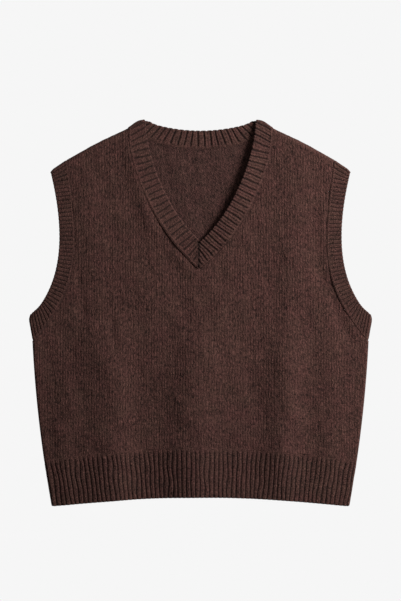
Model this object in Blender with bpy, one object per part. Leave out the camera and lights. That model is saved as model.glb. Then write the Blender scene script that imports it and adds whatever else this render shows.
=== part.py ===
"""Knitted sweater vest lying flat on its back, front side up.

The vest is cut as a knitter cuts it: a front and a back panel, a rib border along each hem, one neckband
strip that laps over its own start at the V, and a closed band round each armhole. Every piece is a mid-surface
grid that the Solidify modifier makes into a wall. The front lies on the back, and both turn a quarter round at
the sides and shoulders, where their edges meet in a seam half way up.

Sizes are in millimetres; they become metres when a mesh is made. X runs across the vest, Y up towards the neck
and Z up from the surface it lies on.
"""

import math

import bmesh
import bpy
import numpy as np

MM = 0.001

# Walls and the heights of the two layers.
BODY_WALL = 2.6
RIB_WALL = 3.0
SEAM_GAP = 0.3
FRONT_HEIGHT = 5.5                    # middle of the front layer's wall
BODY_BACK_HEIGHT = BODY_WALL / 2      # middle of the back panel's wall, which rests on the surface
RIB_BACK_HEIGHT = RIB_WALL / 2

# Outline.
UNDERARM_Y = -41.0                    # where the side seam ends and the armhole band starts
HEM_CORNER_Y = -289.4
UNDERARM_HALF_WIDTH = 252.0
SIDE_TAPER = (12.0, 17.0)             # straight and curved share of the taper from underarm to hem
HEM_SEAM_Y, HEM_SEAM_DROP, HEM_SEAM_REACH = -201.5, 18.0, 228.0
HEM_EDGE_Y, HEM_EDGE_DROP, HEM_EDGE_REACH = -277.0, 13.0, 213.0
SHOULDER_NECK_POINT = (109.0, 277.0)  # outer edge of the shoulder fold, at the neckband
SHOULDER_ARM_POINT = (201.0, 229.5)   # and at the armhole band
NECK_POINT = (84.5, 290.0)            # the neckband's own highest point
SHOULDER_TIP = (224.7, 213.7)         # the armhole band's outer end at the shoulder
UNDERARM_TIP = (257.5, -8.0)          # the armhole band's outer end at the underarm
UNDERARM_POINT = (251.5, -40.7)       # where the armhole band meets the side seam
V_SEAM_Y = 66.5
V_EDGE_Y = 107.0
BACK_NECK_SEAM_Y = 245.5
BACK_NECK_EDGE_Y = 273.0

# Handles of the curves between those points, first handle nearest the shoulder.
NECK_SEAM_HANDLES = ((114.4, 225.9), (61.4, 108.7))
NECK_EDGE_HANDLES = ((82.2, 240.4), (53.8, 154.3))
ARM_SEAM_HANDLES = ((178.4, 86.4), (182.6, 38.2))
ARM_EDGE_HANDLES = ((194.7, 94.9), (215.5, 33.4))

# Neckband at the V: the covered end lies under the other, whose cut end stands just left of the middle.
LAP_UNDER_HEIGHT = BODY_WALL + SEAM_GAP + RIB_WALL / 2
LAP_OVER_HEIGHT = LAP_UNDER_HEIGHT + RIB_WALL + SEAM_GAP
COVERED_FROM, COVERED_TO = 3.0, 28.0  # where the covered end lies along the other side's seam
COVERED_CLEARANCE = 0.45              # between the covered end and that seam
LAP_EDGE_X = -3.5                     # upper corner of the cut end
LAP_SEAM_X = -3.0                     # its lower corner
LAP_SEAM_RISE, LAP_EDGE_RISE = 3.2, 3.15
LAP_CUT_SHARE = 0.3                   # share of that side along which the cut end turns its stations
LAP_RISE = (4.0, 30.0)                # distances from the middle between which the covered side rises
LAP_FALL = (25.0, 52.0)               # and between which the covering side comes down
NECK_LIFT = 3.0                       # how far the neckband's free edge stands up beside the V

# Soft folds of the front: a row for each, from one end to the other, with its spread and its height.
#        x0     y0     x1     y1   spread height
FOLDS = (
    (148.0, 35.0, 152.0, -190.0, 17.0, 1.2),
    (112.0, -60.0, 110.0, -205.0, 14.0, -0.8),
    (32.0, -15.0, 28.0, -200.0, 26.0, 0.6),
    (-42.0, -105.0, -44.0, -285.0, 16.0, -0.8),
    (-104.0, -55.0, -107.0, -200.0, 19.0, 0.9),
    (-182.0, -110.0, -178.0, -285.0, 24.0, -0.7),
    (178.0, 60.0, 222.0, -36.0, 9.0, 0.9),
    (-172.0, 34.0, -150.0, -24.0, 10.0, -0.7),
)

FOLD_FADE = (4.0, 30.0)               # distances from the side between which the folds fade in

# Grid counts.
FRONT_ROWS_BELOW_UNDERARM, FRONT_ROWS_BELOW_V, FRONT_ROWS, FRONT_COLUMNS = 12, 17, 32, 13
BACK_ROWS_BELOW_UNDERARM, BACK_ROWS, BACK_NECK_COLUMNS, BACK_COLUMNS = 7, 27, 8, 13
HEM_ROWS, HEM_COLUMNS = 4, 16
FOLD_STEPS = 4
CURVE_SAMPLES = 300                   # points worked out on a curve before it is spaced evenly
FACET_ALLOWANCE = 1.1                 # extra room at a fold's seam for the tilt of its last facet
ARM_STATIONS, NECK_FRONT_STATIONS, NECK_BACK_STATIONS, COVERED_STATIONS = 21, 16, 17, 3
BAND_COLUMNS = 3
MERGE_DISTANCE = 0.01

# Colours (linear) of the knit: the bands are a shade darker than the panels.
BODY_COLOUR = (0.052, 0.026, 0.022, 1.0)
BAND_COLOUR = (0.045, 0.022, 0.018, 1.0)
KNIT_ROUGHNESS = 0.95


def smooth_step(value, low, high):
    """0 up to low, 1 from high on, with a smooth rise between."""
    share = np.clip((np.asarray(value, float) - low) / (high - low), 0.0, 1.0)
    return share * share * (3.0 - 2.0 * share)


def resample(points, count):
    """Points at equal distances along a polyline."""
    points = np.asarray(points, float)
    steps = np.linalg.norm(np.diff(points, axis=0), axis=1)
    along = np.concatenate(([0.0], np.cumsum(steps)))
    wanted = np.linspace(0.0, along[-1], count)
    return np.stack([np.interp(wanted, along, points[:, axis]) for axis in range(2)], axis=1)


def bezier(start, handles, end, count):
    """Equally spaced points on the cubic curve from start to end."""
    share = np.linspace(0.0, 1.0, CURVE_SAMPLES)[:, None]
    rest = 1.0 - share
    curve = (rest ** 3 * np.array(start) + 3 * rest ** 2 * share * np.array(handles[0])
             + 3 * rest * share ** 2 * np.array(handles[1]) + share ** 3 * np.array(end))
    return resample(curve, count)


def offset(points, distance):
    """Move a curve's points to its left (positive) or right (negative)."""
    tangent = np.gradient(points, axis=0)
    tangent /= np.linalg.norm(tangent, axis=1, keepdims=True)
    return points + distance * np.stack([-tangent[:, 1], tangent[:, 0]], axis=1)


def outward_of(inner, outer):
    """Unit vector square to the fold line from inner to outer, on its outer (left) side."""
    along = np.array(outer, float) - np.array(inner, float)
    along /= np.linalg.norm(along)
    return np.array([-along[1], along[0]])


def inset(point, outward, wall, radius):
    """Where the flat layer ends so that its rounded edge reaches the outline at the given point."""
    return np.array(point, float) - outward * (radius + wall / 2)


def side_half_width(y):
    """Half the width of the vest at a height below the underarm."""
    share = (UNDERARM_Y - y) / (UNDERARM_Y - HEM_CORNER_Y)
    return UNDERARM_HALF_WIDTH - SIDE_TAPER[0] * share - SIDE_TAPER[1] * share ** 2


def parabola(x, middle_y, drop, reach):
    """A line across the vest that falls by drop at the distance reach from the middle."""
    return middle_y - drop * (np.asarray(x, float) / reach) ** 2


def soft_folds(x, y):
    """Height that the front's soft folds add: a smooth ridge or trough round each row of FOLDS.

    They fade out towards the sides, where the layers turn round.
    """
    height = np.zeros_like(np.asarray(x, float))
    for x0, y0, x1, y1, spread, rise in FOLDS:
        length_x, length_y = x1 - x0, y1 - y0
        share = np.clip(((x - x0) * length_x + (y - y0) * length_y) / (length_x ** 2 + length_y ** 2), 0.0, 1.0)
        away = (x - x0 - share * length_x) ** 2 + (y - y0 - share * length_y) ** 2
        height = height + rise * np.exp(-away / (2 * spread ** 2))
    below = np.minimum(y, UNDERARM_Y)
    return height * smooth_step(side_half_width(below) - np.abs(x), *FOLD_FADE)


class Layers:
    """Heights and fold of a pair of layers with the same wall."""

    def __init__(self, wall, back_height):
        self.wall = wall
        self.front = FRONT_HEIGHT
        self.back = back_height
        self.radius = (self.front - self.back) / 2
        self.middle = (self.front + self.back) / 2
        last_facet_tilt = math.pi / 4 / FOLD_STEPS
        self.seam_room = SEAM_GAP / 2 + FACET_ALLOWANCE * wall / 2 * math.sin(last_facet_tilt)


BODY = Layers(BODY_WALL, BODY_BACK_HEIGHT)
RIB = Layers(RIB_WALL, RIB_BACK_HEIGHT)

SHOULDER_OUT = outward_of(SHOULDER_NECK_POINT, SHOULDER_ARM_POINT)
ARM_SHOULDER_OUT = outward_of(SHOULDER_ARM_POINT, SHOULDER_TIP)
UNDERARM_OUT = -outward_of(UNDERARM_POINT, UNDERARM_TIP)
NECK_TOP_SEAM = inset(SHOULDER_NECK_POINT, SHOULDER_OUT, RIB.wall, RIB.radius)
NECK_TOP_EDGE = inset(NECK_POINT, SHOULDER_OUT, RIB.wall, RIB.radius)
ARM_TOP_SEAM = inset(SHOULDER_ARM_POINT, ARM_SHOULDER_OUT, RIB.wall, RIB.radius)
ARM_TOP_EDGE = inset(SHOULDER_TIP, ARM_SHOULDER_OUT, RIB.wall, RIB.radius)
ARM_LOW_SEAM = inset(UNDERARM_POINT, UNDERARM_OUT, RIB.wall, RIB.radius)
ARM_LOW_EDGE = inset(UNDERARM_TIP, UNDERARM_OUT, RIB.wall, RIB.radius)


def coons(bottom, top, left, right):
    """Grid of points between four edge curves that share their corners."""
    u = np.linspace(0.0, 1.0, len(bottom))[None, :, None]
    v = np.linspace(0.0, 1.0, len(left))[:, None, None]
    across = (1 - v) * bottom[None] + v * top[None]
    along = (1 - u) * left[:, None] + u * right[:, None]
    corners = ((1 - u) * (1 - v) * bottom[0] + u * (1 - v) * bottom[-1]
               + (1 - u) * v * top[0] + u * v * top[-1])
    return across + along - corners


def quarter_round(edge, rises, outward, layers, on_front):
    """Strips that carry an edge from the flat layer a quarter turn round, up or down to the seam."""
    sign = 1.0 if on_front else -1.0
    strips = []
    for turn in np.linspace(0.0, math.pi / 2, FOLD_STEPS + 1)[1:]:
        plan = edge + outward * layers.radius * math.sin(turn)
        above_seam = layers.seam_room + (layers.radius - layers.seam_room) * math.cos(turn)
        height = layers.middle + sign * above_seam + rises * math.cos(turn)
        strips.append(np.column_stack([plan, height]))
    return np.stack(strips)


def layered(flat, layers, on_front, side):
    """Give a plan grid its height: the front with that side's soft folds, the back flat."""
    rises = soft_folds(side * flat[..., 0], flat[..., 1]) if on_front else np.zeros(flat.shape[:-1])
    height = (layers.front if on_front else layers.back) + rises
    return np.concatenate([flat, height[..., None]], axis=-1), rises


def folded_grid(flat, layers, on_front, side_rows, shoulder_from, side):
    """Flat half with its side edge rounded up to row side_rows and its shoulder from a column on.

    Points that don't exist are NaN. The plan is the right half's; side is -1 for the left half.
    """
    rows, columns = flat.shape[:2]
    grid = np.full((rows + FOLD_STEPS, columns + FOLD_STEPS, 3), np.nan)
    grid[:rows, :columns], rises = layered(flat, layers, on_front, side)
    outer = flat[:side_rows + 1, -1]
    tangent = np.gradient(outer, axis=0)
    tangent /= np.linalg.norm(tangent, axis=1, keepdims=True)
    outer_out = np.stack([tangent[:, 1], -tangent[:, 0]], axis=1)
    strips = quarter_round(outer, rises[:side_rows + 1, -1], outer_out, layers, on_front)
    grid[:side_rows + 1, columns:] = strips.transpose(1, 0, 2)
    if shoulder_from is not None:
        top = flat[-1, shoulder_from:]
        grid[rows:, shoulder_from:columns] = quarter_round(
            top, rises[-1, shoulder_from:], SHOULDER_OUT, layers, on_front)
    return grid if side > 0 else mirrored(grid)[:, ::-1]


def both_halves(flat, layers, on_front, side_rows, shoulder_from):
    """The right and the left half of a panel whose plan is the same on both sides."""
    return [folded_grid(flat, layers, on_front, side_rows, shoulder_from, side) for side in (1, -1)]


def body_side(rows_below, rows, seam_gap):
    """Outer edge of half a body panel: the side up to the underarm, then the armhole seam."""
    reach = BODY.radius + BODY.wall / 2
    corner_x = side_half_width(HEM_SEAM_Y - HEM_SEAM_DROP)
    start_y = parabola(corner_x, HEM_SEAM_Y, HEM_SEAM_DROP, HEM_SEAM_REACH) + seam_gap
    arm = offset(bezier(ARM_LOW_SEAM, ARM_SEAM_HANDLES[::-1], ARM_TOP_SEAM, rows - rows_below + 1), seam_gap)
    side_y = np.linspace(start_y, UNDERARM_POINT[1] - SEAM_GAP, rows_below + 1)
    side = np.column_stack([side_half_width(side_y) - reach, side_y])
    return np.concatenate([side, arm[1:]])


def body_bottom(corner, columns, seam_gap):
    """Lower edge of half a body panel, just above the hem seam."""
    x = np.linspace(0.0, corner[0], columns)
    y = parabola(x, HEM_SEAM_Y, HEM_SEAM_DROP, HEM_SEAM_REACH) + seam_gap
    y += (corner[1] - y[-1]) * x / corner[0]
    return np.column_stack([x, y])


def front_body_grids():
    """The front's halves: each bounded inside by the middle and then by the V's seam."""
    gap = SEAM_GAP / 2
    outer = body_side(FRONT_ROWS_BELOW_UNDERARM, FRONT_ROWS, gap)
    middle_y = np.linspace(HEM_SEAM_Y + gap, V_SEAM_Y - 2 * gap, FRONT_ROWS_BELOW_V + 1)
    middle = np.column_stack([np.zeros_like(middle_y), middle_y])
    neck = bezier((0.0, V_SEAM_Y), NECK_SEAM_HANDLES[::-1], NECK_TOP_SEAM, FRONT_ROWS - FRONT_ROWS_BELOW_V + 1)
    inner = np.concatenate([middle, offset(neck, -gap)[1:]])
    bottom = body_bottom(outer[0], FRONT_COLUMNS, gap)
    top = np.linspace(inner[-1], outer[-1], FRONT_COLUMNS)
    flat = coons(bottom, top, inner, outer)
    return both_halves(flat, BODY, True, FRONT_ROWS_BELOW_UNDERARM, 0)


def back_body_grids():
    """The back's halves: the upper edge is the back neck seam and then the shoulder."""
    gap = SEAM_GAP / 2
    outer = body_side(BACK_ROWS_BELOW_UNDERARM, BACK_ROWS, gap)
    neck_x = np.linspace(0.0, NECK_TOP_SEAM[0], BACK_NECK_COLUMNS + 1)
    neck = np.column_stack([neck_x, back_neck_y(neck_x, BACK_NECK_SEAM_Y, NECK_TOP_SEAM) - gap])
    shoulder = np.linspace(neck[-1], outer[-1], BACK_COLUMNS - BACK_NECK_COLUMNS)
    top = np.concatenate([neck, shoulder[1:]])
    inner_y = np.linspace(HEM_SEAM_Y + gap, neck[0, 1], BACK_ROWS + 1)
    inner = np.column_stack([np.zeros_like(inner_y), inner_y])
    bottom = body_bottom(outer[0], BACK_COLUMNS, gap)
    flat = coons(bottom, top, inner, outer)
    return both_halves(flat, BODY, False, BACK_ROWS_BELOW_UNDERARM, BACK_NECK_COLUMNS)


def back_neck_y(x, middle_y, end):
    """Height of the back neck curve, a parabola from its middle to the point end."""
    return middle_y + (end[1] - middle_y) * (np.asarray(x, float) / end[0]) ** 2


def hem_grids(on_front):
    """The halves of a hem rib, from the free edge up to the hem seam."""
    gap = SEAM_GAP / 2
    reach = RIB.radius + RIB.wall / 2
    top_y = parabola(side_half_width(HEM_SEAM_Y - HEM_SEAM_DROP), HEM_SEAM_Y, HEM_SEAM_DROP, HEM_SEAM_REACH) - gap
    side_y = np.linspace(HEM_CORNER_Y, top_y, HEM_ROWS + 1)
    outer = np.column_stack([side_half_width(side_y) - reach, side_y])
    inner_y = np.linspace(HEM_EDGE_Y, HEM_SEAM_Y - gap, HEM_ROWS + 1)
    inner = np.column_stack([np.zeros_like(inner_y), inner_y])
    bottom_x = np.linspace(0.0, outer[0, 0], HEM_COLUMNS)
    bottom_y = parabola(bottom_x, HEM_EDGE_Y, HEM_EDGE_DROP, HEM_EDGE_REACH)
    bottom_y += (outer[0, 1] - bottom_y[-1]) * bottom_x / bottom_x[-1]
    bottom = np.column_stack([bottom_x, bottom_y])
    top = body_bottom(outer[-1], HEM_COLUMNS, -gap)
    flat = coons(bottom, top, inner, outer)
    return both_halves(flat, RIB, on_front, HEM_ROWS, None)


def sections(seam, edge, seam_height, edge_height):
    """Stations of a band: each a straight row of points from the seam to the free edge."""
    share = np.linspace(0.0, 1.0, BAND_COLUMNS)[None, :, None]
    low = np.column_stack([seam, np.broadcast_to(seam_height, len(seam))])[:, None]
    high = np.column_stack([edge, np.broadcast_to(edge_height, len(edge))])[:, None]
    return low + (high - low) * share


def turned_sections(seam, edge, outward, downwards):
    """Stations that carry a band half a turn round a fold, without the two that end the flat layers."""
    first, last = (math.pi / 2, -math.pi / 2) if downwards else (-math.pi / 2, math.pi / 2)
    turned = []
    for turn in np.linspace(first, last, 2 * FOLD_STEPS + 1)[1:-1]:
        shift = outward * RIB.radius * math.cos(turn)
        height = RIB.middle + RIB.radius * math.sin(turn)
        turned.append(sections((seam + shift)[None], (edge + shift)[None], height, height))
    return np.concatenate(turned)


def armhole_stations():
    """The right armhole band: up the front, over the shoulder, down the back and round the underarm."""
    seam = offset(bezier(ARM_LOW_SEAM, ARM_SEAM_HANDLES[::-1], ARM_TOP_SEAM, ARM_STATIONS), -SEAM_GAP / 2)
    edge = bezier(ARM_LOW_EDGE, ARM_EDGE_HANDLES[::-1], ARM_TOP_EDGE, ARM_STATIONS)
    return np.concatenate([
        sections(seam, edge, RIB.front, RIB.front),
        turned_sections(seam[-1], edge[-1], ARM_SHOULDER_OUT, True),
        sections(seam[::-1], edge[::-1], RIB.back, RIB.back),
        turned_sections(seam[0], edge[0], UNDERARM_OUT, False),
    ])


def mirrored(points):
    """The same points on the other side of the middle."""
    return np.asarray(points) * np.array([-1.0] + [1.0] * (np.shape(points)[-1] - 1))


def neck_lift(count):
    """How far the free edge stands up, from the V's tip to the shoulder."""
    return NECK_LIFT * np.sin(math.pi * np.linspace(0.0, 1.0, count))


def neckband_stations():
    """The neckband from its covered end at the V all the way round to the end that laps over it."""
    gap = SEAM_GAP / 2
    count = NECK_FRONT_STATIONS
    seam = offset(bezier((0.0, V_SEAM_Y), NECK_SEAM_HANDLES[::-1], NECK_TOP_SEAM, count), gap)
    edge = bezier((0.0, V_EDGE_Y), NECK_EDGE_HANDLES[::-1], NECK_TOP_EDGE, count)
    lift = neck_lift(count)

    fine_seam = mirrored(bezier((0.0, V_SEAM_Y), NECK_SEAM_HANDLES[::-1], NECK_TOP_SEAM, CURVE_SAMPLES))
    along = np.linalg.norm(fine_seam - fine_seam[0], axis=1)
    covered = offset(fine_seam, -COVERED_CLEARANCE)[np.searchsorted(along, (COVERED_FROM, COVERED_TO))]
    share = np.linspace(1.0, 0.0, COVERED_STATIONS + 1)[:-1, None]
    under_seam = seam[0] + (covered[0] - seam[0]) * share
    under_edge = edge[0] + (covered[1] - edge[0]) * share

    rise = smooth_step(np.minimum(seam[:, 0], edge[:, 0]), *LAP_RISE)
    right_height = LAP_UNDER_HEIGHT + (RIB.front - LAP_UNDER_HEIGHT) * rise
    cut = 1.0 - smooth_step(np.linspace(0.0, 1.0, count), 0.0, LAP_CUT_SHARE)
    left_seam = mirrored(seam) + np.outer(cut, [LAP_SEAM_X, LAP_SEAM_RISE])
    left_edge = mirrored(edge) + np.outer(cut, [LAP_EDGE_X, LAP_EDGE_RISE])
    fall = smooth_step(-np.maximum(left_seam[:, 0], left_edge[:, 0]), *LAP_FALL)
    left_height = LAP_OVER_HEIGHT + (RIB.front - LAP_OVER_HEIGHT) * fall

    back_x = np.linspace(1.0, -1.0, NECK_BACK_STATIONS)
    back_seam_x, back_edge_x = back_x * seam[-1, 0], back_x * edge[-1, 0]
    back_seam = np.column_stack([back_seam_x, back_neck_y(back_seam_x, BACK_NECK_SEAM_Y + gap, seam[-1])])
    back_edge = np.column_stack([back_edge_x, back_neck_y(back_edge_x, BACK_NECK_EDGE_Y, edge[-1])])
    return np.concatenate([
        sections(under_seam, under_edge, LAP_UNDER_HEIGHT, LAP_UNDER_HEIGHT),
        sections(seam, edge, right_height, right_height + lift),
        turned_sections(seam[-1], edge[-1], SHOULDER_OUT, True),
        sections(back_seam, back_edge, RIB.back, RIB.back),
        turned_sections(mirrored(seam[-1]), mirrored(edge[-1]), mirrored(SHOULDER_OUT), False),
        sections(left_seam[::-1], left_edge[::-1], left_height[::-1], (left_height + lift)[::-1]),
    ])


def knit_material(name, colour):
    """Matt wool in one colour."""
    material = bpy.data.materials.new(name)
    material.use_nodes = True
    shader = material.node_tree.nodes["Principled BSDF"]
    shader.inputs["Base Color"].default_value = colour
    shader.inputs["Roughness"].default_value = KNIT_ROUGHNESS
    shader.inputs["Metallic"].default_value = 0.0
    return material


def add_grid(bm, grid, closed):
    """Add the quads through a grid of points in millimetres; NaN points are left out."""
    rows, columns = grid.shape[:2]
    verts = [[None if np.isnan(point[0]) else bm.verts.new(point * MM) for point in row] for row in grid]
    for row in range(rows if closed else rows - 1):
        for column in range(columns - 1):
            above = (row + 1) % rows
            corners = (verts[row][column], verts[row][column + 1], verts[above][column + 1], verts[above][column])
            if None not in corners:
                bm.faces.new(corners)


def grid_mesh(name, grids, closed=False):
    """Mesh of one or more grids, joined where their points meet."""
    bm = bmesh.new()
    for grid in grids:
        add_grid(bm, grid, closed)
    bmesh.ops.remove_doubles(bm, verts=bm.verts, dist=MERGE_DISTANCE * MM)
    mesh = bpy.data.meshes.new(name)
    bm.to_mesh(mesh)
    bm.free()
    return mesh


def add_piece(name, grids, wall, colour, parent, closed=False):
    """Object with its own material and a Solidify that turns its mid-surface into a wall."""
    mesh = grid_mesh(name, grids, closed)
    mesh.materials.append(knit_material(name, colour))
    piece = bpy.data.objects.new(name, mesh)
    bpy.context.collection.objects.link(piece)
    piece.parent = parent
    solidify = piece.modifiers.new("wall", "SOLIDIFY")
    solidify.thickness = wall * MM
    solidify.offset = 0.0
    solidify.use_even_offset = True
    return piece


def build_vest():
    """Make every piece of the vest under one empty."""
    for leftover in list(bpy.data.objects):
        bpy.data.objects.remove(leftover, do_unlink=True)
    vest = bpy.data.objects.new("vest", None)
    bpy.context.collection.objects.link(vest)

    add_piece("front_body", front_body_grids(), BODY.wall, BODY_COLOUR, vest)
    add_piece("back_body", back_body_grids(), BODY.wall, BODY_COLOUR, vest)
    add_piece("front_hem_rib", hem_grids(True), RIB.wall, BAND_COLOUR, vest)
    add_piece("back_hem_rib", hem_grids(False), RIB.wall, BAND_COLOUR, vest)
    add_piece("neckband", [neckband_stations()], RIB.wall, BAND_COLOUR, vest)
    right = armhole_stations()
    add_piece("armhole_band_right", [right], RIB.wall, BAND_COLOUR, vest, closed=True)
    add_piece("armhole_band_left", [mirrored(right)[:, ::-1]], RIB.wall, BAND_COLOUR, vest, closed=True)


build_vest()
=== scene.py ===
"""Knitted sweater vest laid flat, front side up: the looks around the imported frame.

Each piece of the vest is a surface of two parameters on a grid. A panel's columns run along its wales (the
upright rows of stitches) and its rows across them. A rib band is a closed profile carried along the band,
with its ribs and stitches raised on it. Sizes in the classes are millimetres, and meshes are made in metres.
"""

import logging
import math
from dataclasses import dataclass, field, replace
from enum import Enum
from typing import ClassVar

import bpy
import numpy as np
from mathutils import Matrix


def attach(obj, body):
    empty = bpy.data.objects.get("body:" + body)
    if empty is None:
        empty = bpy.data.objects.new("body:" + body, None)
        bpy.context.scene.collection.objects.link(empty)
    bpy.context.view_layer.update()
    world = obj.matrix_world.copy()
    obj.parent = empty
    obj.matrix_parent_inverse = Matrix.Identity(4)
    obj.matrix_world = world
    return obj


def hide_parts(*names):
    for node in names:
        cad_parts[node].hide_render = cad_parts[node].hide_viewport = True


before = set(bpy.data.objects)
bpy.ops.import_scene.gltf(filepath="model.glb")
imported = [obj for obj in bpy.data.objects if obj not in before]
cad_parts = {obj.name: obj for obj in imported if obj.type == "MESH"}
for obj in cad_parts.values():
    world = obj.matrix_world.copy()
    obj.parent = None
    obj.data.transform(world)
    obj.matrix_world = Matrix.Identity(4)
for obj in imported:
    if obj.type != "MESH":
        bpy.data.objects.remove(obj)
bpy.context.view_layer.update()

MM = 0.001
# How far a panel's edge runs on under a band, and how near the cloth comes to the floor, in millimetres.
SEAM_TUCK = 0.6
FLOOR_CLEARANCE = 0.04
# Points are joined when they fall on the same step, and an edge sharper than the angle stays crisp.
STEPS_PER_MM = 2000.0
SHARP_ANGLE = math.radians(72.0)
# How finely a seam's curve is worked out, and how many points it keeps.
CURVE_FINE_POINTS = 600
CURVE_POINTS = 400
# A wobble's sines: each one's share, how many times shorter it is, and how far the seed shifts it.
WOBBLE_SINES = ((0.5, 1.0, 1.7), (0.3, 1.618, 2.9), (0.2, 2.71, 0.6))
# A patchy field's waves: how many, the largest phase, and the least and largest share of the length.
PATCH_WAVES = 6
PATCH_PHASE = 6.28
PATCH_LENGTHS = (0.7, 1.5)
Array = np.ndarray
log = logging.getLogger("vest")


class Layer(Enum):
    """Which layer of the laid-out vest a piece belongs to."""

    FRONT = 1
    BACK = -1


class Stitch(Enum):
    """How a knitted face looks: smooth side with upright wales, or the bumpy wrong side."""

    RIGHT_SIDE = "right side"
    WRONG_SIDE = "wrong side"


# ---------------------------------------------------------------- small formulas

def smooth_step(value: Array | float, low: float, high: float) -> Array:
    """Rise smoothly from 0 at low to 1 at high: 3s^2 - 2s^3 of the share s between them."""
    share = np.clip((np.asarray(value, float) - low) / (high - low), 0.0, 1.0)
    return share * share * (3.0 - 2.0 * share)


def bell(value: Array, spread: float) -> Array:
    """Gaussian bell of height 1: exp(-value^2 / 2 spread^2)."""
    return np.exp(-np.square(value) / (2.0 * spread ** 2))


def wobble(value: Array, length: float, seed: int) -> Array:
    """Smooth uneven wave between about -1 and 1: three sines whose lengths don't divide each other.

    Args:
        value: distance along the piece.
        length: about the distance from one swell to the next.
        seed: shifts the waves, so that two pieces differ.

    Returns:
        One number for each value.
    """
    turn = 2.0 * math.pi / length
    return sum(share * np.sin(turn * times * value + shift * seed) for share, times, shift in WOBBLE_SINES)


def patchy(x: Array, y: Array, length: float, seed: int) -> Array:
    """Smooth uneven field between about -1 and 1: plane waves in six seeded directions, a third of their sum.

    Args:
        x: places across.
        y: places along.
        length: about the distance from one patch to the next.
        seed: chooses the directions, phases and lengths of the waves.

    Returns:
        One number for each place.
    """
    rng = np.random.default_rng(seed)
    angles = rng.uniform(0, math.pi, PATCH_WAVES)
    phases = rng.uniform(0, PATCH_PHASE, PATCH_WAVES)
    scales = rng.uniform(*PATCH_LENGTHS, PATCH_WAVES)
    total = np.zeros(np.broadcast(x, y).shape)
    for angle, phase, scale in zip(angles, phases, scales):
        total += np.sin(2 * math.pi * (x * math.cos(angle) + y * math.sin(angle)) / (length * scale) + phase)
    return total / (PATCH_WAVES / 2)


def along(points: Array) -> Array:
    """Distance along a polyline at each of its points."""
    return np.concatenate(([0.0], np.cumsum(np.linalg.norm(np.diff(points, axis=0), axis=1))))


def resample(points: Array, count: int) -> Array:
    """Points at equal distances along a polyline, in as many dimensions as it has.

    Args:
        points: the polyline, a row for each point.
        count: how many points are wanted, with both ends.

    Returns:
        The new points, a row for each.
    """
    travelled = along(points)
    wanted = np.linspace(0.0, travelled[-1], count)
    return np.stack([np.interp(wanted, travelled, column) for column in points.T], axis=1)


def bezier(start: tuple, handles: tuple, end: tuple) -> Array:
    """Equally spaced points on the cubic curve from start to end with two handles.

    With s the share of the way and r = 1 - s, a point is r^3 start + 3 r^2 s h0 + 3 r s^2 h1 + s^3 end.

    Args:
        start: first point.
        handles: the two handles.
        end: last point.

    Returns:
        The points, a row for each.
    """
    share = np.linspace(0.0, 1.0, CURVE_FINE_POINTS)[:, None]
    rest = 1.0 - share
    curve = (rest ** 3 * np.array(start) + 3 * rest ** 2 * share * np.array(handles[0])
             + 3 * rest * share ** 2 * np.array(handles[1]) + share ** 3 * np.array(end))
    return resample(curve, CURVE_POINTS)


def tangents(points: Array) -> Array:
    """Unit vectors along a plan curve at each of its points."""
    tangent = np.gradient(points, axis=0)
    return tangent / np.linalg.norm(tangent, axis=1, keepdims=True)


def normals_2d(points: Array) -> Array:
    """Unit vectors to the left of a plan curve at each of its points."""
    tangent = tangents(points)
    return np.stack([-tangent[:, 1], tangent[:, 0]], axis=1)


def squared(seam: Array, edge: Array, low_blend: float, top_blend: float, least_rate: float = 0.3) -> Array:
    """Free-edge points paired square to the seam: where (edge - seam) . tangent = 0.

    Args:
        seam: plan points of the seam.
        edge: as many plan points of the free edge, run the same way.
        low_blend: share of the length at the start over which the pairs come round to the two first points.
        top_blend: the same at the end and the last points.
        least_rate: least cosine taken between the edge and the seam, so that no pair runs far off.

    Returns:
        One free-edge point for each seam point.
    """
    tangent, edge_tangent = tangents(seam), tangents(edge)
    off = ((edge[None] - seam[:, None]) * tangent[:, None]).sum(axis=2)
    near = np.abs(off).argmin(axis=1)
    rate = np.maximum((edge_tangent[near] * tangent).sum(axis=1), least_rate)
    way = along(edge)
    place = way[near] - off[np.arange(len(seam)), near] / rate
    share = np.linspace(0.0, 1.0, len(seam))
    place = place + (way[-1] - place[-1]) * smooth_step(share, 1.0 - top_blend, 1.0)
    if low_blend > 0.0:
        place = place - place[0] * (1.0 - smooth_step(share, 0.0, low_blend))
    place = np.clip(np.maximum.accumulate(place), way[0], way[-1])
    return np.stack([np.interp(place, way, column) for column in edge.T], axis=1)


def cell_corners(values: Array) -> Array:
    """The values at the four corners of each cell of a grid, in turn round it, on a new third axis."""
    return np.stack([values[:-1, :-1], values[:-1, 1:], values[1:, 1:], values[1:, :-1]], axis=2)


def mirrored(points: Array) -> Array:
    """The same points on the other side of the middle of the vest."""
    flip = np.ones(points.shape[-1])
    flip[0] = -1.0
    return points * flip


# ---------------------------------------------------------------- the cut of the vest

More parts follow.
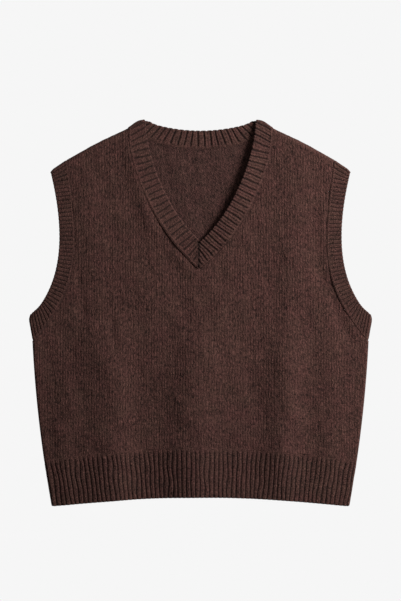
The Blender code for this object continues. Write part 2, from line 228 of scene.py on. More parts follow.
@dataclass(frozen=True)
class Cut:
    """Outline and layers of the laid-out vest, the right half; the left half is its mirror image."""

    body_wall: float = 2.6
    rib_wall: float = 3.0
    front_height: float = 5.5
    underarm_y: float = -41.0
    hem_corner_y: float = -289.4
    underarm_half_width: float = 252.0
    side_taper: tuple[float, float] = (12.0, 17.0)
    hem_seam: tuple[float, float, float] = (-201.5, 18.0, 228.0)
    hem_edge: tuple[float, float, float] = (-276.2, 14.0, 213.0)
    shoulder_neck_point: tuple[float, float] = (109.0, 277.0)
    shoulder_arm_point: tuple[float, float] = (201.0, 229.5)
    neck_point: tuple[float, float] = (84.5, 290.0)
    shoulder_tip: tuple[float, float] = (224.7, 213.7)
    underarm_tip: tuple[float, float] = (257.5, -8.0)
    underarm_point: tuple[float, float] = (251.5, -40.7)
    v_seam_y: float = 66.5
    v_edge_y: float = 107.0
    back_neck_seam_y: float = 245.5
    back_neck_edge_y: float = 273.0
    neck_seam_handles: tuple = ((61.4, 108.7), (114.4, 225.9))
    neck_edge_handles: tuple = ((53.8, 154.3), (82.2, 240.4))
    arm_seam_handles: tuple = ((182.6, 38.2), (178.4, 86.4))
    arm_edge_handles: tuple = ((215.5, 33.4), (194.7, 94.9))

    def half_width(self, y: Array | float) -> Array:
        """Half the width at a height below the underarm: its own less a straight and a squared taper."""
        share = (self.underarm_y - y) / (self.underarm_y - self.hem_corner_y)
        return self.underarm_half_width - self.side_taper[0] * share - self.side_taper[1] * share ** 2

    def radius(self, wall: float) -> float:
        """Radius of the outer face where front and back turn round into each other."""
        return (self.front_height + wall / 2) / 2

    def turned_out(self, inner: tuple, outer: tuple, sign: float = 1.0) -> Array:
        """Unit vector square to a fold line, pointing away from the vest.

        Args:
            inner: the fold line's end on the panel.
            outer: its end on the outline.
            sign: 1 for a turn to the left of the line and -1 for one to the right.

        Returns:
            The vector in plan.
        """
        line = np.array(outer, float) - np.array(inner, float)
        line /= np.linalg.norm(line)
        return sign * np.array([-line[1], line[0]])

    @property
    def shoulder_out(self) -> Array:
        """Direction out of the shoulder fold."""
        return self.turned_out(self.shoulder_neck_point, self.shoulder_arm_point)

    @property
    def arm_shoulder_out(self) -> Array:
        """Direction out of the armhole band's fold at the shoulder."""
        return self.turned_out(self.shoulder_arm_point, self.shoulder_tip)

    @property
    def underarm_out(self) -> Array:
        """Direction out of the armhole band's fold at the underarm."""
        return self.turned_out(self.underarm_point, self.underarm_tip, -1.0)

    def inset(self, point: tuple, outward: Array, wall: float) -> Array:
        """Where the flat layer ends, so that its rounded edge reaches the outline at the point."""
        return np.array(point, float) - outward * self.radius(wall)

    def across(self, x: Array, line: tuple[float, float, float]) -> Array:
        """A line across the vest: its middle height less a drop that grows with x squared."""
        middle, drop, reach = line
        return middle - drop * (np.asarray(x, float) / reach) ** 2

    def back_neck(self, x: Array, middle_y: float, end: Array) -> Array:
        """The back neck curve: a parabola from its middle up to the point end."""
        return middle_y + (end[1] - middle_y) * (np.asarray(x, float) / end[0]) ** 2

    def neck_seam(self) -> Array:
        """The V's seam from its tip to the shoulder fold."""
        top = self.inset(self.shoulder_neck_point, self.shoulder_out, self.rib_wall)
        return bezier((0.0, self.v_seam_y), self.neck_seam_handles, tuple(top))

    def neck_edge(self) -> Array:
        """The V's free edge from its tip to the shoulder fold."""
        top = self.inset(self.neck_point, self.shoulder_out, self.rib_wall)
        return bezier((0.0, self.v_edge_y), self.neck_edge_handles, tuple(top))

    def arm_seam(self) -> Array:
        """The armhole seam from the underarm fold to the shoulder fold."""
        low = self.inset(self.underarm_point, self.underarm_out, self.rib_wall)
        top = self.inset(self.shoulder_arm_point, self.arm_shoulder_out, self.rib_wall)
        return bezier(tuple(low), self.arm_seam_handles, tuple(top))

    def arm_edge(self) -> Array:
        """The armhole's free edge from the underarm fold to the shoulder fold."""
        low = self.inset(self.underarm_tip, self.underarm_out, self.rib_wall)
        top = self.inset(self.shoulder_tip, self.arm_shoulder_out, self.rib_wall)
        return bezier(tuple(low), self.arm_edge_handles, tuple(top))


@dataclass(frozen=True)
class Fold:
    """One soft fold: a ridge (height above 0) or trough along a line, wider by lean on its left side."""

    start: tuple[float, float]
    end: tuple[float, float]
    spread: float
    height: float
    lean: float = 0.0
    sway: ClassVar[float] = 0.25
    sway_length: ClassVar[float] = 95.0
    end_fade: ClassVar[float] = 1.6

    def rise(self, x: Array, y: Array) -> Array:
        """Height at each point: a bell across the line, whose two sides differ a little, fading at its ends.

        Args:
            x: places across the vest.
            y: places along it.

        Returns:
            One height for each place.
        """
        dx, dy = self.end[0] - self.start[0], self.end[1] - self.start[1]
        length = math.hypot(dx, dy)
        travelled = ((x - self.start[0]) * dx + (y - self.start[1]) * dy) / length
        aside = ((x - self.start[0]) * dy - (y - self.start[1]) * dx) / length
        own_seed = int(abs(self.start[0])) % 7
        aside = aside + self.sway * self.spread * wobble(travelled, self.sway_length, own_seed)
        past = np.maximum(np.maximum(-travelled, travelled - length), 0.0)
        across = aside / (1.0 + self.lean * np.tanh(aside / self.spread))
        return self.height * bell(across, self.spread) * bell(past, self.end_fade * self.spread)


FRONT_FOLDS = (
    Fold((136.0, 70.0), (130.0, -50.0), 15.0, 2.0, -0.2),
    Fold((128.0, -85.0), (124.0, -235.0), 20.0, 7.8, 0.1),
    Fold((8.0, 10.0), (2.0, -50.0), 24.0, 2.0, -0.2),
    Fold((-9.0, -100.0), (-14.0, -300.0), 29.0, 8.0, -0.15),
    Fold((-132.0, -70.0), (-132.0, -300.0), 24.0, 6.8, 0.3),
    Fold((196.0, -60.0), (190.0, -215.0), 16.0, 2.2),
    Fold((58.0, -120.0), (62.0, -280.0), 14.0, 1.4),
    Fold((-200.0, -120.0), (-206.0, -285.0), 14.0, 2.0),
    Fold((-74.0, 20.0), (-72.0, -70.0), 20.0, 1.4),
    Fold((172.0, 190.0), (174.0, 95.0), 6.0, -0.8),
    Fold((178.0, 62.0), (224.0, -38.0), 7.0, -1.7),
    Fold((-181.0, 46.0), (-176.0, 2.0), 5.0, -1.1),
    Fold((-176.0, 0.0), (-135.0, -12.0), 5.0, -1.3),
    Fold((-132.0, -16.0), (-128.0, -48.0), 5.0, -1.2),
    Fold((-160.0, -28.0), (-158.0, -60.0), 13.0, 1.5),
    Fold((-222.0, 0.0), (-236.0, -60.0), 10.0, -0.8),
    Fold((-103.0, 235.0), (-80.0, 150.0), 8.0, 1.8),
    Fold((-72.0, 128.0), (-14.0, 62.0), 8.0, 1.7),
    Fold((-170.0, 170.0), (-158.0, 80.0), 13.0, 1.8),
    Fold((142.0, 215.0), (138.0, 100.0), 14.0, 1.5),
    Fold((60.0, 62.0), (30.0, 0.0), 15.0, 1.2),
)
BACK_FOLDS = (
    Fold((-120.0, -20.0), (-112.0, -190.0), 18.0, 0.9),
    Fold((40.0, 200.0), (46.0, 60.0), 20.0, 0.7),
    Fold((150.0, 80.0), (138.0, -160.0), 16.0, 0.8),
    Fold((-30.0, 220.0), (-34.0, 60.0), 18.0, 0.8),
)


# ---------------------------------------------------------------- meshes

def mark_sharp(mesh: bpy.types.Mesh) -> None:
    """Keep a mesh's open borders and its square corners crisp in a smooth surface.

    Args:
        mesh: a mesh whose edges are worked out.
    """
    mesh.set_sharp_from_angle(angle=SHARP_ANGLE)
    used = np.zeros(len(mesh.loops), np.int32)
    mesh.loops.foreach_get("edge_index", used)
    border = np.bincount(used, minlength=len(mesh.edges)) == 1
    sharp = mesh.attributes.get("sharp_edge") or mesh.attributes.new("sharp_edge", "BOOLEAN", "EDGE")
    marked = np.zeros(len(mesh.edges), bool)
    sharp.data.foreach_get("value", marked)
    sharp.data.foreach_set("value", marked | border)


def make_piece(name: str, points: Array, quads: Array, uv: Array, groove: Array) -> bpy.types.Object:
    """Turn arrays into an object with smooth faces, with points in the same place joined.

    Args:
        name: the piece's name.
        points: one row of x, y, z in millimetres for each vertex.
        quads: four vertex numbers for each face; a face whose corners repeat becomes a triangle.
        uv: one row for each face corner of quads, shaped like quads with a last axis of 2.
        groove: painted shade for each vertex, from 0 to 1: how deep it lies in a groove of the knit, and on a
            band also beside its seam and cut end.

    Returns:
        The new object, linked to the scene and with its place in its mesh.
    """
    steps = np.round(points * STEPS_PER_MM).astype(np.int64)
    first, numbers = np.unique(steps, axis=0, return_index=True, return_inverse=True)[1:]
    used, quads = np.unique(numbers.reshape(-1)[quads], return_inverse=True)
    quads = quads.reshape(-1, 4)
    points, groove = points[first][used], groove[first][used]
    following = np.roll(quads, -1, axis=1)
    keep = quads != following
    sides = keep.sum(axis=1)
    whole = sides >= 3
    keep &= whole[:, None]
    loops = quads[keep]
    sides = sides[whole]
    mesh = bpy.data.meshes.new(name)
    mesh.vertices.add(len(points))
    mesh.vertices.foreach_set("co", (points * MM).astype(np.float32).ravel())
    mesh.loops.add(len(loops))
    mesh.loops.foreach_set("vertex_index", loops.astype(np.int32))
    mesh.polygons.add(len(sides))
    mesh.polygons.foreach_set("loop_start", np.concatenate(([0], np.cumsum(sides)[:-1])).astype(np.int32))
    mesh.uv_layers.new(name="knit").data.foreach_set("uv", uv[keep].astype(np.float32).ravel())
    # The groove attribute is painted shade, which the finishes darken the yarn by.
    mesh.attributes.new("groove", "FLOAT", "POINT").data.foreach_set("value", groove.astype(np.float32))
    mesh.update(calc_edges=True)
    mesh.shade_smooth()
    mark_sharp(mesh)
    piece = bpy.data.objects.new(name, mesh)
    bpy.context.collection.objects.link(piece)
    return piece


@dataclass
class KnitPanel:
    """A plain-knit body panel, front or back.

    The panel is first laid out flat, with its sides and shoulders let down past the lines where they turn
    round. Each row keeps its columns at the same x; the columns past an edge end on that edge. Then the
    sides and shoulders are rolled round to the seam half way up.
    """

    cut: Cut
    layer: Layer
    folds: tuple[Fold, ...]
    name: str
    wale: float = 3.9
    columns_per_wale: int = 3
    row_step: float = 4.6
    nominal_height: float = 470.0
    wale_depth: float = 0.18
    groove_power: int = 6
    least_groove: float = 0.25
    groove_seed: int = 11
    unevenness: float = 0.15
    grain_seed: int = 5
    root_of_three: float = 1.73
    wall_room: float = 0.9
    seam_room: float = 0.16
    edge_room: float = 0.3
    column_room: float = 8.0
    hem_side_y: float = -219.0
    hem_run_on: float = 2.0
    underarm_gap: float = 0.3
    side_samples: int = 80
    let_down_start: float = 0.5
    let_down: float = 3.0
    let_down_samples: int = 8
    tip_drop: float = 0.2
    neck_run_on: float = 6.0
    neck_rise: float = 3.2
    neck_blend: tuple[float, float] = (-1.0, 2.0)
    neck_roll_room: float = 1.5
    back_neck_reach: float = 100.0
    side_sink: float = 0.05
    arm_sink: float = 0.4
    neck_sink: float = 0.2
    back_neck_sink: float = 0.7
    bumps: tuple[tuple[float, float, int], ...] = ((0.33, 34.0, 3), (0.18, 13.0, 5))
    back_lift: float = 0.2
    side_calm: float = 26.0
    side_calm_rise: float = 30.0
    shoulder_calm: float = 20.0
    side_roll_rise: float = 1.0
    shoulder_bulge: float = 1.5
    bulge_power: float = 1.5
    bulge_reach: float = 70.0

    def roll_length(self) -> float:
        """How far the panel is let down past its turning lines: a quarter circle less half the seam."""
        return math.pi / 2 * self.cut.radius(self.cut.body_wall) - self.seam_room

    def tip_y(self) -> float:
        """Height of the V's tip on the panel, just below the seam's own."""
        return self.cut.v_seam_y - self.tip_drop

    def past_shoulder(self, last: Array) -> Array:
        """Points that carry an edge on over the shoulder, a little further than the panel goes."""
        stop = self.roll_length() + self.let_down
        return last + self.cut.shoulder_out * np.linspace(self.let_down_start, stop,
                                                          self.let_down_samples)[:, None]

    def outer_edge(self) -> Array:
        """Lay out the right edge from hem to shoulder: side, underarm step, armhole seam, shoulder end.

        Returns:
            Plan points of the edge, a row for each.
        """
        cut = self.cut
        corner_y = float(cut.across(cut.half_width(self.hem_side_y), cut.hem_seam))
        side_y = np.linspace(corner_y - self.hem_run_on, cut.underarm_point[1] - self.underarm_gap,
                             self.side_samples)
        side_x = cut.half_width(side_y) - cut.radius(cut.body_wall) + self.roll_length()
        seam = cut.arm_seam() - SEAM_TUCK * normals_2d(cut.arm_seam())
        return np.concatenate([np.column_stack([side_x, side_y]), seam, self.past_shoulder(seam[-1])])

    def inner_edge(self) -> Array:
        """The V's seam on the front, let down over the shoulder."""
        seam = self.cut.neck_seam() + SEAM_TUCK * normals_2d(self.cut.neck_seam())
        return np.concatenate([seam, self.past_shoulder(seam[-1])])

    def top_line(self, x: Array) -> Array:
        """Upper limit of the rows: the shoulder, and the back neck seam or a level line inside it.

        Args:
            x: places across the right half.

        Returns:
            The limit's y at each place.
        """
        cut = self.cut
        reach = cut.radius(cut.body_wall)
        x0, y0 = np.array(cut.shoulder_neck_point) + cut.shoulder_out * (self.roll_length() - reach)
        x1, y1 = np.array(cut.shoulder_arm_point) + cut.shoulder_out * (self.roll_length() - reach)
        shoulder = y0 + (x - x0) * (y1 - y0) / (x1 - x0)
        neck_end = cut.neck_seam()[-1]
        if self.layer is Layer.FRONT:
            return np.where(x < neck_end[0] - self.neck_run_on, y0 + self.neck_rise, shoulder)
        neck = cut.back_neck(x, cut.back_neck_seam_y + SEAM_TUCK, neck_end)
        start, stop = neck_end[0] + self.neck_blend[0], neck_end[0] + self.neck_blend[1]
        return np.where(x < start, neck, neck + (shoulder - neck) * smooth_step(x, start, stop))

    def edge_x(self, edge: Array, levels: Array) -> Array:
        """Find where an edge crosses each row, as x against the row's level along the edge.

        Args:
            edge: plan points of the edge, upwards.
            levels: the rows, as shares of the height.

        Returns:
            One x for each row.
        """
        low = self.cut.across(edge[:, 0], self.cut.hem_seam)
        level = (edge[:, 1] - low) / (self.top_line(edge[:, 0]) - low)
        return np.interp(levels, np.maximum.accumulate(level), edge[:, 0])

    def inner_x(self, levels: Array) -> Array:
        """Find the inner edge's x on each row: 0 up to the V's tip, and on the whole back.

        Args:
            levels: the rows, as shares of the height.

        Returns:
            One x for each row.
        """
        if self.layer is Layer.BACK:
            return np.zeros(len(levels))
        low = self.cut.across(0.0, self.cut.hem_seam)
        tip_level = (self.tip_y() - low) / (self.top_line(np.array(0.0)) - low)
        return np.where(levels <= tip_level + 1e-9, 0.0, self.edge_x(self.inner_edge(), levels))

    def levels(self) -> Array:
        """Share out the rows, with one row on the underarm and one on the V's tip.

        Returns:
            The rows as shares of the height, from 0 to 1.
        """
        cut = self.cut
        stops = [0.0]
        underarm_y = cut.underarm_point[1]
        for x, y in ((cut.half_width(underarm_y), underarm_y), (0.0, self.tip_y())):
            low, high = cut.across(x, cut.hem_seam), self.top_line(np.array(x))
            stops.append(float((y - low) / (high - low)))
        stops = sorted(stops) + [1.0]
        stretches = []
        for low, high in zip(stops[:-1], stops[1:]):
            count = max(2, round((high - low) * self.nominal_height / self.row_step))
            stretches.append(np.linspace(low, high, count)[:-1])
        return np.concatenate(stretches + [[1.0]])

    def grooves(self, wales: Array) -> Array:
        """Share of a groove's depth: cos^6 of half a turn a wale, deeper in some places.

        Args:
            wales: how many wales each point lies from the middle.

        Returns:
            A number from 0 to 1 for each point.
        """
        uneven = np.random.default_rng(self.groove_seed).uniform(self.least_groove, 1.0, wales.shape)
        uneven = (uneven + np.roll(uneven, 1, axis=0)) / 2
        return np.cos(math.pi * wales) ** self.groove_power * uneven

    def grain(self, shape: tuple[int, int]) -> Array:
        """Seeded unevenness of the stitches, drawn out along the wales by adding rows in threes.

        Args:
            shape: how many rows and columns.

        Returns:
            Heights with the spread of a single row, as the sum is divided by the root of three.
        """
        rng = np.random.default_rng(self.grain_seed + self.layer.value)
        raw = rng.normal(0.0, self.unevenness, shape)
        return (raw + np.roll(raw, 1, axis=0) + np.roll(raw, -1, axis=0)) / self.root_of_three

    def build(self) -> bpy.types.Object:
        """Make the panel's mesh.

        Returns:
            The outer face as an object with a Solidify modifier that gives it its wall.
        """
        levels = self.levels()
        step = self.wale / self.columns_per_wale
        columns = int(math.ceil((self.cut.underarm_half_width + self.column_room) / step)) + 1
        across_x = step * np.arange(columns)
        outer, inner = self.edge_x(self.outer_edge(), levels), self.inner_x(levels)
        halves, base = [], 0
        for side in (1.0, -1.0):
            grid, numbers, wales = self.half_grid(levels, across_x, inner, outer, side)
            rows = np.broadcast_to(levels[:, None] * self.nominal_height / self.wale, wales.shape)
            way = -1 if side * self.layer.value < 0 else 1
            quads = cell_corners(numbers)[:, :, ::way].reshape(-1, 4) + base
            uv = cell_corners(np.stack([wales, rows], axis=-1))[:, :, ::way].reshape(-1, 4, 2)
            # The grooves' depth share is also the painted shade of the wales' grooves.
            halves.append((grid.reshape(-1, 3), quads, uv, self.grooves(wales).reshape(-1)))
            base += grid.shape[0] * grid.shape[1]
        piece = make_piece(self.name, *(np.concatenate(part) for part in zip(*halves)))
        wall = piece.modifiers.new("wall", "SOLIDIFY")
        wall.thickness = (self.cut.body_wall - self.wall_room) * MM
        wall.offset = -1.0
        wall.use_even_offset = False
        wall.material_offset = 1
        return piece

    def half_grid(self, levels: Array, across_x: Array, inner: Array, outer: Array,
                  side: float) -> tuple[Array, Array, Array]:
        """Lay out and place one half of the panel.

        Args:
            levels: the rows, as shares of the height.
            across_x: the columns' x.
            inner: x of the inner edge on each row.
            outer: x of the outer edge on each row.
            side: 1 for the right half and -1 for the left.

        Returns:
            The points, the numbers with columns past an edge sent to the one on it, and the wale counts.
        """
        columns = np.arange(len(across_x))
        first = np.searchsorted(across_x, inner + self.edge_room)
        first = np.where(inner <= 0.0, 0, first)
        last = np.searchsorted(across_x, outer - self.edge_room) - 1
        held = np.clip(columns[None], first[:, None], last[:, None])
        on_inner = (columns[None] <= first[:, None]) & (inner[:, None] > 0.0)
        on_outer = columns[None] >= last[:, None]
        x = np.where(on_inner, inner[:, None], across_x[held])
        x = np.where(on_outer, outer[:, None], x)
        low = self.cut.across(x, self.cut.hem_seam) - SEAM_TUCK
        y = low + levels[:, None] * (self.top_line(x) - low)
        wales = x / self.wale
        on_side = y < self.cut.underarm_point[1]
        outer_sink = np.where(on_side, -self.side_sink, -self.arm_sink)
        sunk = np.where(on_outer, outer_sink, np.where(on_inner, -self.neck_sink, 0.0))
        if self.layer is Layer.BACK:
            neck_sink = np.where(x[-1] < self.back_neck_reach, -self.back_neck_sink, 0.0)
            sunk[-1] = np.minimum(sunk[-1], neck_sink)
        grain = self.grain(x.shape)
        grain[:, 0] = 0.0
        grain[0] = 0.0
        relief = grain - self.wale_depth * self.grooves(wales)
        grid = self.placed(x, y, np.where(sunk < 0.0, sunk, relief), side)
        numbers = np.arange(len(levels))[:, None] * len(across_x) + held
        return grid, numbers, wales

    def softness(self, x: Array, y: Array, from_side: Array, from_top: Array) -> Array:
        """Height of the folds and bumps, which die away towards the turned sides and shoulders.

        Args:
            x: places across the vest.
            y: places along it.
            from_side: how far inside the side's turning line each place is.
            from_top: how far inside the shoulder's turning line.

        Returns:
            One height for each place; on the back never below 0, so that it lies on the floor.
        """
        folds = sum(fold.rise(x, y) for fold in self.folds)
        bumps = sum(height * patchy(x, y, length, seed) for height, length, seed in self.bumps)
        calm = smooth_step(from_side, 0.0, self.side_calm)
        calm = np.where(y < self.cut.underarm_y + self.side_calm_rise, calm, 1.0)
        top_calm = smooth_step(from_top, 0.0, self.shoulder_calm)
        soft = (folds + bumps) * calm * top_calm
        if self.layer is Layer.BACK:
            soft = np.maximum(soft + self.back_lift, 0.0) * calm * top_calm
        return soft

    def placed(self, x: Array, y: Array, relief: Array, side: float) -> Array:
        """Roll the laid-out panel's sides and shoulders round, and give it its height.

        A point a distance e past a turning line goes to radius * sin(e / radius) past it and to a height of
        radius * cos(e / radius) from the seam's level. The relief moves it out along the surface.

        Args:
            x: places across the right half.
            y: places along it.
            relief: how far each point stands out of the face.
            side: 1 for the right half and -1 for the left.

        Returns:
            The points in space.
        """
        cut = self.cut
        radius = cut.radius(cut.body_wall)
        turn_x = cut.half_width(np.minimum(y, cut.underarm_y)) - radius
        out = cut.shoulder_out
        line = np.array(cut.shoulder_neck_point) - out * radius
        beyond = (x - line[0]) * out[0] + (y - line[1]) * out[1]
        past_side = np.where(y < cut.underarm_y + self.side_roll_rise, np.maximum(x - turn_x, 0.0), 0.0)
        past_top = np.maximum(beyond, 0.0)
        if self.layer is Layer.BACK:
            past_top = np.where(x > cut.neck_seam()[-1][0] - self.neck_roll_room, past_top, 0.0)
        past = np.maximum(past_side, past_top)
        angle = past / radius
        height = radius * np.cos(angle)
        soft = self.softness(side * x, y, turn_x - x, -beyond)
        x0, x1 = cut.shoulder_neck_point[0], cut.shoulder_arm_point[0]
        share = np.clip((x - x0) / (x1 - x0), 0.0, 1.0)
        bulge = self.shoulder_bulge * np.sin(math.pi * share) ** self.bulge_power
        bulge = bulge * smooth_step(beyond, -self.bulge_reach, 0.0)
        shift = radius * np.sin(angle) - past
        on_side = past_side >= past_top
        lean = relief * np.sin(angle)
        dx = np.where(on_side, shift, shift * out[0]) + lean * np.where(on_side, 1.0, out[0])
        dy = np.where(on_side, 0.0, shift * out[1]) + lean * np.where(on_side, 0.0, out[1])
        z = radius + self.layer.value * (height + relief * np.cos(angle)) + soft
        z = np.maximum(z, FLOOR_CLEARANCE)
        return np.stack([side * (x + dx + bulge * out[0]), y + dy + bulge * out[1], z], axis=-1)


@dataclass
class Track:
    """The route of a band: each station's seam point, its free-edge point and the way out of its face."""

    seam: Array
    edge: Array
    out: Array

    @staticmethod
    def flat(seam: Array, edge: Array, seam_z: Array | float, edge_z: Array | float, layer: Layer,
             step: float) -> "Track":
        """A stretch that lies flat, with stations a step apart along its middle.

        Args:
            seam: plan points of the seam.
            edge: as many plan points of the free edge.
            seam_z: height of the wall's middle along the seam.
            edge_z: the same along the free edge.
            layer: which way the outer face looks.
            step: distance between stations.

        Returns:
            The stretch.
        """
        count = max(2, int(round(along((seam + edge) / 2)[-1] / step)) + 1)
        heights = np.broadcast_to(seam_z, len(seam)), np.broadcast_to(edge_z, len(edge))
        pair = np.column_stack([seam, heights[0], edge, heights[1]])
        share = np.linspace(0.0, 1.0, len(pair))
        wanted = np.linspace(0.0, 1.0, count)
        pair = np.stack([np.interp(wanted, share, column) for column in pair.T], axis=1)
        out = np.tile([0.0, 0.0, float(layer.value)], (count, 1))
        return Track(pair[:, :3], pair[:, 3:], out)

    @staticmethod
    def turn(seam: Array, edge: Array, outward: Array, cut: Cut, start: float, stop: float,
             count: int = 10) -> "Track":
        """A stretch that turns round a fold: angle pi/2 is the front layer and -pi/2 the back one.

        Args:
            seam: plan point where the flat seam ends.
            edge: plan point where the flat edge ends.
            outward: plan direction out of the fold.
            cut: the vest's sizes.
            start: first angle.
            stop: last angle.
            count: stations, without the two that end the flat stretches.

        Returns:
            The stretch, a circle of the middle of the wall about the fold's line.
        """
        angle = np.linspace(start, stop, count + 2)[1:-1, None]
        middle = cut.radius(cut.rib_wall)
        radius = cut.front_height - middle
        away = np.concatenate([np.cos(angle) * outward[None], np.sin(angle)], axis=1)
        centre_seam, centre_edge = np.append(seam, middle), np.append(edge, middle)
        return Track(centre_seam + radius * away, centre_edge + radius * away, away)

    def __add__(self, other: "Track") -> "Track":
        """This stretch and then the other."""
        return Track(*(np.concatenate(pair) for pair in zip(self.parts(), other.parts())))

    def parts(self) -> tuple[Array, Array, Array]:
        """The three arrays."""
        return self.seam, self.edge, self.out

    def backwards(self) -> "Track":
        """The same stretch from its other end."""
        return Track(*(part[::-1] for part in self.parts()))

    def mirrored(self) -> "Track":
        """The same stretch on the other side of the vest."""
        return Track(*(mirrored(part) for part in self.parts()))


@dataclass(frozen=True)
class Corner:
    """An outer corner of a band that is drawn back into a round one."""

    place: tuple[float, float]
    out: tuple[float, float]
    depth: float
    reach: float
    around: float = 5.5

    def draw_back(self, points: Array) -> Array:
        """Shift points by depth * exp(t / reach) against the way out, t being how far out they lie.

        Args:
            points: points in space, on the last axis.

        Returns:
            The shifted points; those far from the corner's place stay.
        """
        way = np.array(self.out) / np.hypot(*self.out)
        away = points[..., :2] - np.array(self.place)
        pull = self.depth * np.exp(np.minimum(away @ way, 0.0) / self.reach)
        pull = pull * bell(np.linalg.norm(away, axis=-1), self.around)
        shifted = points.copy()
        shifted[..., :2] -= pull[..., None] * way
        return shifted

    def mirrored(self) -> "Corner":
        """The same corner on the other side of the vest."""
        return replace(self, place=(-self.place[0], self.place[1]), out=(-self.out[0], self.out[1]))


@dataclass
class RibBand:
    """A rib-knit band: a rounded wall carried along a track, with ribs that run from the seam to the edge.

    Round the wall the profile goes out along the outer face, round the free edge and back along the inner
    face. On the outer face a point's height is half the wall, less a bell-shaped groove once a rib.
    """

    name: str
    wall: float = 3.0
    swell: float = 0.15
    rib: float = 6.0
    wales_per_rib: int = 2
    groove_depth: float = 1.2
    groove_share: float = 0.15
    midline_depth: float = 0.22
    midline_share: float = 0.06
    # Painted shade in each rib's shallow midline.
    midline_painted_shade: float = 0.25
    face_points: int = 28
    face_crowding: float = 0.96
    back_points: int = 8
    edge_points: int = 7
    course: float = 2.6
    wander: float = 0.05
    wander_length: float = 47.0
    lean_share: float = 1.4
    lean_length: float = 30.0
    scallop: float = 0.5
    closed: bool = False
    seam_bead: float = 0.45
    bead_place: float = 2.4
    bead_spread: float = 0.7
    stitch_length: float = 3.1
    stitch_level: float = 0.7
    stitch_swing: float = 0.3
    seam_dip: float = 0.6
    dip_spread: float = 1.1
    inner_dip_share: float = 0.5
    # Painted shade along the seam's dip: how much, and where and how wide its line is.
    seam_painted_shade: float = 0.95
    seam_shade_place: float = 0.3
    seam_shade_spread: float = 0.9
    rib_start: float = 2.2
    rib_full: float = 4.4
    narrowed: tuple[float, ...] = (0.0, 0.0)
    fold_reach: tuple[float, ...] = (6.0, 6.0)
    corners: tuple[Corner, ...] = ()
    round_ends: bool = False
    cut_end_x: float | None = None
    cut_end_top: float = 106.0
    cut_end_fade: tuple[float, float] = (0.5, 5.0)
    late_share: float = 0.6
    # Where and how wide the painted shade of the crevice past a cut end lies.
    crevice_shade_place: float = 1.2
    crevice_shade_spread: float = 1.6
    widened: float = 0.0
    start_drop: float = 0.0
    drop_reach: float = 9.0
    unevenness: float = 0.06

    def profile(self, width: Array) -> tuple[Array, Array, Array, Array]:
        """The wall's outline at each station.

        Args:
            width: distance from seam to edge at each station.

        Returns:
            Distance from the seam, height off the middle as a share of half the wall, share of the relief,
            and the distance walked round the outline; each a row for a station and a column for a point.
        """
        bend = self.wall / 2
        face = np.linspace(0.0, 1.0, self.face_points) ** self.face_crowding
        turn = np.linspace(0.0, math.pi, self.edge_points + 2)[1:-1]
        back = np.linspace(1.0, 0.0, self.back_points)
        flat_width = (width - bend)[:, None]
        aside = np.concatenate([face * flat_width, flat_width + bend * np.sin(turn), back * flat_width],
                               axis=1)
        height = np.concatenate([np.ones_like(face), np.cos(turn), -np.ones_like(back)])
        share = np.concatenate([np.ones_like(face), 0.5 + 0.5 * np.abs(np.cos(turn)), np.ones_like(back)])
        ones = np.ones_like(aside)
        walked = np.concatenate([face * flat_width, flat_width + bend * turn,
                                 flat_width + bend * math.pi + (1.0 - back) * flat_width], axis=1)
        return aside, height * ones, share * ones, walked

    def rib_phase(self, travelled: Array, total: float, aside: Array) -> Array:
        """Count of ribs passed at each point, a little uneven along the band and across it.

        Args:
            travelled: distance along the band at each station.
            total: the band's length.
            aside: each point's distance from the seam.

        Returns:
            The count, a row for a station and a column for a point; whole round a closed band.
        """
        count = round(total / self.rib) if self.closed else total / self.rib
        even = travelled / total * count
        envelope = np.sin(math.pi * travelled / total) if self.closed else np.ones_like(travelled)
        swing = self.wander * wobble(travelled, self.wander_length, len(self.name)) * envelope
        uneven = patchy(travelled[:, None], aside, self.lean_length, len(self.name))
        return (even + swing)[:, None] + self.wander * self.lean_share * uneven * envelope[:, None]

    def near_folds(self, facing: Array, travelled: Array, total: float) -> Array:
        """Loss of width: a bell at each fold, where the way out of the face turns over, or at each end.

        Args:
            facing: how far up the face looks at each station.
            travelled: distance along the band at each station.
            total: the band's length.

        Returns:
            The loss at each station; below 0 the band is wider.
        """
        folds = travelled[:-1][np.sign(facing[:-1]) != np.sign(facing[1:])]
        if self.round_ends:
            folds = np.array([0.0, total])
        distance = np.abs(travelled[:, None] - folds[None])
        if self.closed:
            distance = np.minimum(distance, total - distance)
        amount, reach = np.array(self.narrowed), np.array(self.fold_reach)
        return (amount * np.exp(-np.square(distance / reach) / 2.0)).sum(axis=1)

    def late(self, stations: int) -> Array:
        """Which stations belong to the strip's last part, where its cut end is."""
        return np.arange(stations)[:, None] > self.late_share * stations

    def trimmed(self, values: Array, x: Array) -> Array:
        """Cut the strip's last end along a line of constant x: later stations stay at each line's crossing.

        Args:
            values: an array whose first axes are stations and points of the outline.
            x: the points' x.

        Returns:
            The array with each crossing, a straight share between two stations, in place of all after it.
        """
        stations, around = x.shape
        beyond = (x > self.cut_end_x) & self.late(stations)
        first = np.where(beyond.any(axis=0), beyond.argmax(axis=0), stations - 1)
        column = np.arange(around)
        before, after = values[first - 1, column], values[first, column]
        share = (self.cut_end_x - x[first - 1, column]) / (x[first, column] - x[first - 1, column])
        crossing = before + share[:, None] * (after - before)
        return np.where((np.arange(stations)[:, None] >= first)[..., None], crossing[None], values)

    def relief_share(self, aside: Array, flat_x: Array, share: Array) -> Array:
        """How much of the ribs shows at each point: none at the seam and little near a cut end.

        Args:
            aside: each point's distance from the seam.
            flat_x: its x before any relief.
            share: the profile's own share.

        Returns:
            A number from 0 to 1 for each point.
        """
        fade = smooth_step(aside, self.rib_start, self.rib_full) * share
        if self.cut_end_x is None:
            return fade
        near_end = smooth_step(self.cut_end_x - flat_x, *self.cut_end_fade)
        return fade * np.where(self.late(len(aside)), near_end, 1.0)

